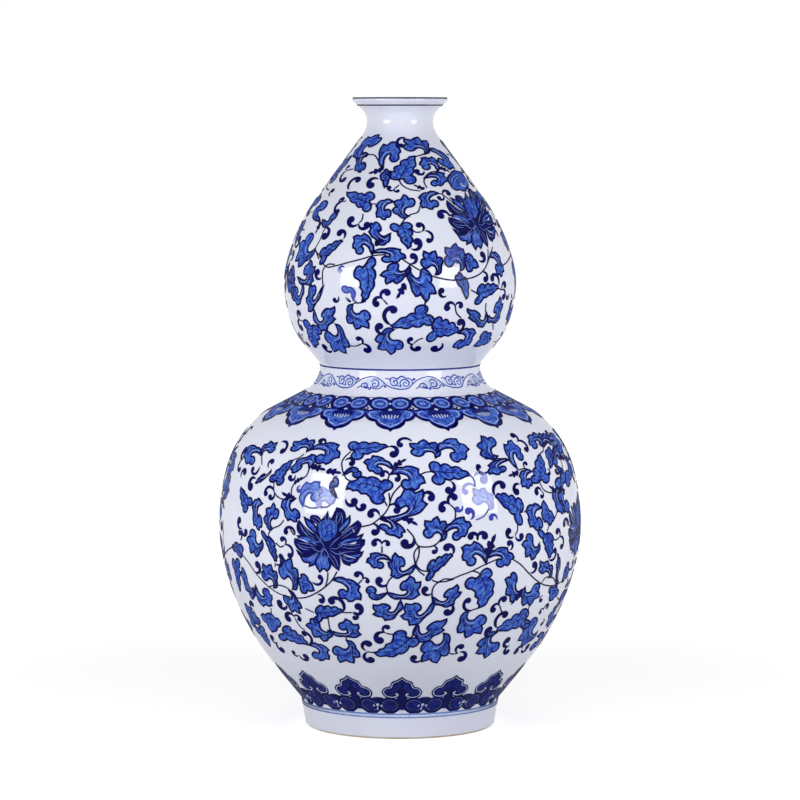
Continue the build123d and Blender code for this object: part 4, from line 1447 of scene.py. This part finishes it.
# The scroll on the upper bulb, in the same way
UPPER_LEAVES = {
    "long_leaf": [
        [(399, 180), (415.5, 156), (385.5, 176), (413.5, 182.5)],
        [(371, 204), (347, 192), (366, 213.5), (371, 193.5)],
        [(320.5, 257), (342.5, 241), (322, 250), (323, 264)],
        [(401.5, 224), (408, 248.5), (411.5, 225), (390.5, 228)],
        [(313, 325), (314, 347), (322.5, 331), (304, 322)],
        [(430, 315), (391, 325.5), (431.5, 325), (418.5, 306)],
        [(432, 328), (458, 332), (440, 316), (431, 341)],
        [(477.5, 294), (498, 288), (482, 284.5), (479, 304)],
    ],
    "arched_leaf": [
        [(366, 264), (362, 301), (380, 263), (357.5, 276)],
    ],
    "curl_leaf": [
        [(366, 156), (374, 142.5), (356, 150), (368, 138)],
        [(368, 155), (364, 166), (357, 160), (355, 170)],
        [(383, 168), (394, 157), (384, 144.5), (395.5, 143.5)],
        [(429, 150), (442, 160), (448, 157), (454, 170)],
        [(437.5, 171), (427.5, 166), (432, 157), (421, 159.5)],
        [(425, 178), (435, 183), (444, 174), (446.5, 181)],
        [(438, 193.5), (432, 203), (418, 198), (425, 207.5)],
        [(393, 202), (385.5, 211), (375.5, 205), (379.5, 218.5)],
        [(372, 254), (360, 249.5), (364, 234), (354, 238)],
        [(389.5, 234), (378.5, 227), (378, 243), (369, 232)],
        [(373, 253), (387, 260.5), (400, 251), (404.5, 256.5)],
        [(458, 333), (458.5, 344), (475, 334), (468, 344)],
        [(490, 257), (496, 268), (499, 257), (504.5, 272)],
    ],
    "long_curl_leaf": [
        [(298, 277), (304.5, 271), (313, 279), (315.5, 268), (310.5, 260)],
        [(303, 284), (297, 288), (297, 305), (292, 297), (292, 289)],
        [(323, 286), (315.5, 291), (309.5, 309.5), (304.5, 300), (312, 284)],
        [(314.5, 310.5), (324.5, 307), (327.5, 328.5), (334, 322), (335, 308)],
        [(486, 313), (477.5, 309.5), (478.5, 324), (468, 322), (468, 308)],
        [(487, 315), (495, 308.5), (499, 318), (503.5, 303), (499.5, 298.5)],
    ],
    "fan_leaf": [
        [(425, 153.5), (409, 149.5), (405, 139), (417.5, 137), (426, 142.5)],
        [(408, 216), (409, 205), (406, 195.5), (394, 199), (392.5, 213.5)],
        [(315, 249), (311.5, 240), (299, 243), (296.5, 261)],
        [(409, 267), (392.5, 267.5), (382, 273.5), (387, 285), (396, 282)],
        [(409, 268), (426, 280), (435, 290), (426.5, 298.5), (416, 299.5)],
        [(436, 274), (427.5, 264), (423, 252.5), (434, 251), (443, 259)],
        [(460.5, 270), (450, 258), (446, 252), (453.5, 243), (464.5, 249)],
        [(336, 325), (329, 337), (334.5, 351), (344, 351.5), (350.5, 347)],
        [(352.5, 305), (365, 317), (367.5, 325), (358, 330), (347, 322)],
        [(393, 330), (398.5, 344), (390.5, 353.5), (380, 349), (375, 339)],
    ],
    "round_leaf": [
        [(464.5, 261), (476, 267), (472, 253.5), (471.5, 270)],
        [(459.5, 273.5), (464, 294), (471, 289), (460, 285)],
        [(490.5, 334), (475.5, 346), (487, 341), (482, 331)],
        [(292, 283), (291, 271), (289, 276), (295, 276)],
        [(386, 170), (385.5, 185), (389, 178), (379.5, 179)],
    ],
    "bud_leaf": [
        [(320, 221), (321, 207), (313.5, 215)],
        [(323, 220), (332, 218.5), (325, 226.5)],
    ],
    "spur": [
        [(383, 168.5), (368, 173.5)],
        [(439, 168), (450, 172)],
        [(425, 189), (413, 184.5)],
        [(321, 221), (315, 234)],
        [(375, 246), (388.5, 234.5)],
        [(405, 283), (396, 299)],
        [(351, 302), (345.5, 297)],
    ],
}

UPPER_HOOKS = [
    [(406, 138), (401, 146), -1], [(424, 170.5), (417, 171.5), 1], [(443, 195.5), (439, 198), 1],
    [(443, 195), (448.5, 193.5), 1], [(349, 190), (358.5, 179.5), 1], [(379, 179.5), (370.5, 185.5), -1],
    [(395, 188.5), (389, 187.5), 1], [(395, 188), (398, 191), -1], [(346.5, 170.5), (349, 166.5), 1],
    [(346.5, 170.5), (344, 180), -1], [(344, 201.5), (337, 212), -1], [(325, 227.5), (324.5, 236.5), 1],
    [(343, 239.5), (339.5, 233), -1], [(358.5, 223.5), (351, 219.5), 1], [(359, 223), (367, 225), -1],
    [(322, 277.5), (317.5, 272), 1], [(421, 232), (418.5, 225), -1], [(424, 231), (429, 241), 1],
    [(410.5, 248.5), (417.5, 241.5), -1], [(409.5, 263.5), (413, 256), -1],
    [(478.5, 260), (482.5, 254.5), -1], [(482, 272.5), (485.5, 279.5), 1], [(498.5, 286), (492, 278), -1],
    [(450, 217.5), (440.5, 215.5), -1], [(332, 350), (324.5, 346.5), 1], [(383, 300), (387.5, 292.5), 1],
    [(383.5, 299.5), (376, 304), -1], [(391.5, 325), (393.5, 309), 1], [(386, 333), (379.5, 326), 1],
    [(361, 344), (358, 338.5), -1], [(361, 344), (367, 350.5), 1], [(338, 296), (334.5, 300), 1],
    [(455, 306.5), (447, 308), -1], [(455, 307), (461, 306), 1], [(458, 331), (460, 322), -1],
    [(447, 295.5), (441.5, 290.5), 1], [(502, 290), (505, 285), 1], [(502, 290), (503.5, 297), 1],
    [(414.5, 343.5), (410.5, 339), 1], [(413.5, 343), (418, 348.5), -1], [(442, 342.5), (434, 348.5), 1],
    [(300, 320), (299.5, 313), 1], [(300, 320), (301.5, 328), -1], [(330, 196), (333, 190.5), 1],
    [(340, 204), (343, 199), 1], [(446, 148), (442, 142), 1],
]

UPPER_STEMS = [
    [(369, 154.5), (374, 155), (378, 160), (380, 165), (384, 168.5)],
    [(415.5, 156.5), (420, 155.5), (425, 153.5), (429, 150)],
    [(398.5, 179), (402, 185), (410, 189.5), (420, 191)],
    [(427, 188), (424, 182), (426, 176), (432, 172), (438, 171.5)],
    [(438, 193), (443, 195), (447, 198), (455, 205)],
    [(420, 206), (418, 212), (410, 215), (405, 219), (402, 223)],
    [(343.5, 201.5), (346, 201)],
    [(315, 249), (320, 240), (324, 230), (326, 228)],
    [(315.5, 250), (318, 254), (321, 256)],
    [(316, 251), (319, 259)],
    [(323, 264), (327, 267), (335, 266), (350, 262), (362, 259), (372, 256), (386, 254.5)],
    [(335, 264.5), (328, 264.5), (323, 270), (322.5, 278), (323, 286)],
    [(411, 228), (415, 232), (421, 232)],
    [(359, 223), (362, 220), (363, 214)],
    [(402, 259), (411, 265), (423, 272), (432, 276), (441, 278.5), (450, 280), (466, 279), (474, 277),
     (482, 272), (487, 264), (488, 249)],
    [(492.5, 247), (490, 256), (487.5, 263)],
    [(436, 275), (439, 270)],
    [(425, 298.5), (425, 311)],
    [(429.5, 319), (433, 325)],
    [(383.5, 300), (387.5, 304.5)],
    [(354, 303), (362, 302.5), (366, 301)],
    [(391.5, 325), (393, 330)],
    [(350, 345.5), (356, 346), (361, 344)],
    [(455, 306), (456.5, 313), (461, 318)],
    [(471, 290), (478, 294)],
    [(486, 303), (485.5, 311), (487, 316)],
    [(492.5, 321), (493, 330)],
    [(498, 288), (502, 290)],
    [(414, 343), (418, 340), (423, 338)],
    [(334.5, 324), (336, 325)],
    [(314.5, 309), (314.5, 312)],
    [(300, 320), (304.5, 322)],
    [(353.5, 169), (346.5, 170.5)],
    [(395, 188.5), (399, 185)],
    [(372, 204), (376, 204)],
]

# What the reflections of the two lamps nearly hide in the photograph, in the same way
HIDDEN_LEAVES = {
    "curl_leaf": [
        [(303, 505), (315, 497), (307, 483), (319, 483)],
    ],
    "fan_leaf": [
        [(321, 507), (331, 501), (332, 490), (322.5, 488), (316.5, 492.5)],
        [(489, 509), (478, 502), (473, 489), (485, 488), (491, 496)],
    ],
    "bud_leaf": [
        [(457, 262), (457, 252), (451, 257)],
        [(353, 299), (347, 289.5), (354, 291)],
    ],
}

HIDDEN_HOOKS = [
    [(338, 482), (336, 477), 1], [(301, 486), (299, 491), -1], [(475, 487), (465, 492), -1],
    [(474, 477), (484, 480), 1], [(470, 520), (468, 511), -1], [(497, 520), (491, 518), -1],
    [(462, 505), (457, 509), 1], [(345, 268), (340, 271), -1],
]

HIDDEN_STEMS = [
    [(469, 474), (474, 480), (475, 487)],
    [(489, 509), (484, 516), (476, 520)],
    [(321, 507), (327, 507), (333, 502), (336.5, 497)],
    [(303, 505), (311, 508), (321, 507)],
    [(353, 299), (357, 303)],
]

# Each flower: its middle, and the pixels one unit of its motif to the right of it and one above it
LOWER_LOTUS = [(327, 546), (337, 546), (327, 536)]
UPPER_LOTUS = [(476, 223), (481.8, 222.5), (473.2, 213.5)]
UPPER_ROSETTE = [(459, 181), (467, 182), (456.5, 171)]

# The turns round the axis at which the front's painting comes again. What lies between a bulb's side angles
# is painted at the two sides as well, a lotus's spacing further on.
LOTUS_SPACING = radians(100)
FRONT_AND_BACK = (0, pi)
ALL_ROUND = (0, LOTUS_SPACING, pi, pi + LOTUS_SPACING)
LOWER_SIDES = (radians(-36), radians(5))
UPPER_SIDES = (radians(-33), radians(10))
NO_SIDES = (0, 0)
# A hook longer than this is a crook, and a shorter one a comma
CROOK_REACH = 6.4 * MM

# Pixels at the front that a ring runs through, and the middle of each border's first motif. A border's motif
# is drawn at so many pixels a unit.
LIP_EDGE_RING = (400, 97.9)
LIP_RING = (400, 105)
WAIST_TOP_RING = (400, 370)
WAIST_SCROLL = (402, 383.5)
WAIST_FOOT_RING = (400, 398)
COLLAR_HEAD = (390.2, 414)
FOOT_HEAD = (402, 692)
FOOT_UPPER_RING = (400, 714.3)
FOOT_PALE_RING = (400, 716)
FOOT_LOWER_RING = (400, 717.6)
BORDER_UNIT_PX = 10
# How many motifs each border has round the vase
WAIST_WAVES = 9
COLLAR_HEADS = 16
FOOT_HEADS = 15


def scroll(name, leaves, hooks, stems, sides):
    """One bulb's scroll, painted on the front, again on the back, and in part at the two sides."""
    zone = Zone(name)

    def turns(pixel):
        """The turns round the axis at which what lies at a pixel is painted."""
        at_sides = sides[0] < skin.seen_at(*pixel)[0] < sides[1]
        return ALL_ROUND if at_sides else FRONT_AND_BACK

    for kind, places in leaves.items():
        for base, *pixels in places:
            if kind == "spur":
                zone.hook(kind, base, pixels[0], 1, turns(base))
            else:
                zone.leaf(kind, base, pixels, turns(base))
    for tail, head, side in hooks:
        reach = np.linalg.norm(skin.offset(skin.seen_at(*tail), skin.seen_at(*head)))
        zone.hook("crook" if reach > CROOK_REACH else "comma", tail, head, side, turns(tail))
    for stem in stems:
        middle = stem[len(stem) // 2]
        zone.line("line", [skin.seen_at(*pixel) for pixel in stem], STEM, turns(middle))
    return zone


def put_flower(zone, kind, pixels, turns):
    """Puts a flower by the three pixels that place its units."""
    middle, right, above = (skin.seen_at(*pixel) for pixel in pixels)
    zone.put_motif(kind, middle, skin.offset(middle, right), skin.offset(middle, above), turns)


def lower_scroll():
    """The lower bulb's scroll with its four lotuses."""
    zone = scroll("lower_scroll", LOWER_LEAVES, LOWER_HOOKS, LOWER_STEMS, LOWER_SIDES)
    put_flower(zone, "lotus", LOWER_LOTUS, ALL_ROUND)
    return zone


def upper_scroll():
    """The upper bulb's scroll with its two lotuses and the blossoms beside them."""
    zone = scroll("upper_scroll", UPPER_LEAVES, UPPER_HOOKS, UPPER_STEMS, UPPER_SIDES)
    put_flower(zone, "rosette", UPPER_ROSETTE, FRONT_AND_BACK)
    put_flower(zone, "lotus", UPPER_LOTUS, FRONT_AND_BACK)
    return zone


def ring(zone, tone, pixel, width):
    """A line of a width in millimetres right round the vase, through a pixel at its front."""
    along = skin.seen_at(*pixel)[1]
    zone.line(tone, [(around, along) for around in np.linspace(-pi, pi, RING_POINTS)], (width,))


def border(zone, kind, pixel, count):
    """A motif repeated right round the vase, with the middle of the first at a pixel."""
    middle = skin.seen_at(*pixel)
    reach = skin.offset(middle, skin.seen_at(pixel[0] + BORDER_UNIT_PX, pixel[1]))
    spread = skin.offset(middle, skin.seen_at(pixel[0], pixel[1] - BORDER_UNIT_PX))
    zone.put_motif(kind, middle, reach, spread, np.arange(count) * tau / count)


def lip_lines():
    """The dark line on the lip's edge and the one below it."""
    zone = Zone("lip")
    ring(zone, "line", LIP_EDGE_RING, width=0.8)
    ring(zone, "line", LIP_RING, width=1.0)
    return zone


def waist_band():
    """The classic scroll between its two lines."""
    zone = Zone("waist")
    ring(zone, "pen", WAIST_TOP_RING, width=1.0)
    ring(zone, "shade", WAIST_FOOT_RING, width=0.5)
    border(zone, "classic_scroll", WAIST_SCROLL, WAIST_WAVES)
    return zone


def collar():
    """The hanging ruyi heads under the waist."""
    zone = Zone("collar")
    border(zone, "collar_ruyi", COLLAR_HEAD, COLLAR_HEADS)
    return zone


def foot_band():
    """The upright ruyi heads on their chain of round scrolls, and the pale double line under them."""
    zone = Zone("foot_band")
    border(zone, "foot_ruyi", FOOT_HEAD, FOOT_HEADS)
    ring(zone, "tint", FOOT_PALE_RING, width=1.3)
    ring(zone, "sky", FOOT_UPPER_RING, width=0.9)
    ring(zone, "sky", FOOT_LOWER_RING, width=0.7)
    return zone


def place_lamp(name, place, size, power):
    """A rectangular lamp that points at the vase."""
    lamp = bpy.data.lights.new(name, "AREA")
    lamp.shape = "RECTANGLE"
    lamp.size, lamp.size_y = size
    lamp.energy = power
    holder = bpy.data.objects.new(name, lamp)
    bpy.context.scene.collection.objects.link(holder)
    holder.location = place
    holder.rotation_euler = (Vector(LAMP_TARGET) - Vector(place)).to_track_quat("-Z", "Y").to_euler()


def seen_directly(tree):
    """1 for the camera's rays and for what glossy and clear surfaces show of the background, else 0."""
    path = node(tree, "ShaderNodeLightPath", {}, {})
    glossy_or_clear = path["Is Glossy Ray"].math("MAXIMUM", path["Is Transmission Ray"])
    return path["Is Camera Ray"].math("MAXIMUM", glossy_or_clear)


def simple_shader(tree, kind, values):
    """The one output of a shader node that needs no settings."""
    return list(node(tree, kind, {}, values).values())[0]


def make_world():
    """Soft light from all round, and plain white where the background is seen."""
    world = bpy.data.worlds.new("studio")
    bpy.context.scene.world = world
    world.use_nodes = True
    tree = world.node_tree
    tree.nodes.clear()
    soft = simple_shader(tree, "ShaderNodeBackground", {"Color": (1, 1, 1, 1), "Strength": WORLD_LIGHT})
    white = simple_shader(tree, "ShaderNodeBackground", {"Color": (1, 1, 1, 1), "Strength": 1.0})
    both = simple_shader(tree, "ShaderNodeMixShader", {0: seen_directly(tree), 1: soft, 2: white})
    node(tree, "ShaderNodeOutputWorld", {}, {"Surface": both})


def make_floor():
    """A pale floor that looks white where it is lit, and keeps the vase's soft shadow."""
    mesh = bpy.data.meshes.new("floor")
    corners = [(x * FLOOR_REACH, y * FLOOR_REACH, 0) for x, y in ((-1, -1), (1, -1), (1, 1), (-1, 1))]
    mesh.from_pydata(corners, [], [(0, 1, 2, 3)])
    floor = bpy.data.objects.new("floor", mesh)
    bpy.context.scene.collection.objects.link(floor)
    material, tree = new_material("floor")
    lit = simple_shader(tree, "ShaderNodeBsdfDiffuse", {"Color": FLOOR_GREY})
    seen = simple_shader(tree, "ShaderNodeBsdfDiffuse", {"Color": SEEN_GREY})
    place = node(tree, "ShaderNodeTexCoord", {}, {})["Object"]
    distance = node(tree, "ShaderNodeVectorMath", {"operation": "LENGTH"}, {0: place})["Value"]
    white = blended(tree, distance.stepped(GLOW_START, GLOW_END), NEAR_GLOW, FAR_GLOW)
    glow = simple_shader(tree, "ShaderNodeEmission", {"Color": white})
    glowing = simple_shader(tree, "ShaderNodeAddShader", {0: seen, 1: glow})
    both = simple_shader(tree, "ShaderNodeMixShader", {0: seen_directly(tree), 1: lit, 2: glowing})
    node(tree, "ShaderNodeOutputMaterial", {}, {"Surface": both})
    mesh.materials.append(material)


def set_camera():
    """The camera that took the photograph."""
    data = bpy.data.cameras.new("camera")
    camera = bpy.data.objects.new("camera", data)
    bpy.context.scene.collection.objects.link(camera)
    camera.location = EYE
    camera.rotation_euler = (pi / 2 - PITCH, 0, 0)
    data.sensor_width = SENSOR_MM
    data.lens = FOCAL_PX / PHOTO_PX * SENSOR_MM
    data.clip_start = CLIP_START
    bpy.context.scene.camera = camera


def finish_frame_pieces():
    """Gives the frame's own pieces their finish, slot by slot."""
    made = {"clear_glaze": glaze_material(), "porcelain_body": clay_material(), "slip": slip_material()}
    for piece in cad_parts.values():
        for holder in piece.material_slots:
            holder.material = made[holder.material.name.split(".")[0]]


def paint_vase():
    """Paints every zone, then what lies under the reflections in paler cobalt: painted highlight, fully
    glazed.
    """
    colours = {
        tone: cobalt_material("cobalt_" + tone, *mix, COBALT_SHINE) for tone, mix in COBALTS.items()}
    # Painted highlight: these cobalt materials are painted paler to stand for the lamps' reflections over the
    # marks
    painted_highlight_colours = {
        tone: cobalt_material("glossy_" + tone, *mix, GLOSSY_SHINE) for tone, mix in PAINTED_HIGHLIGHT_COBALTS.items()}
    tree = painting_tree()
    outline = outline_object()
    for zone in (lip_lines(), upper_scroll(), waist_band(), collar(), lower_scroll(), foot_band()):
        paint(zone, tree, outline, colours)
    hidden = scroll("glossy_scroll", HIDDEN_LEAVES, HIDDEN_HOOKS, HIDDEN_STEMS, NO_SIDES)
    paint(hidden, tree, outline, painted_highlight_colours)


def main():
    """Finishes and paints the vase, then lights it and sets the camera."""
    bpy.context.scene.view_settings.view_transform = "Standard"
    finish_frame_pieces()
    paint_vase()
    make_world()
    make_floor()
    for name, lamp in LAMPS.items():
        place_lamp(name, *lamp)
    set_camera()


main()
bpy.context.view_layer.update()
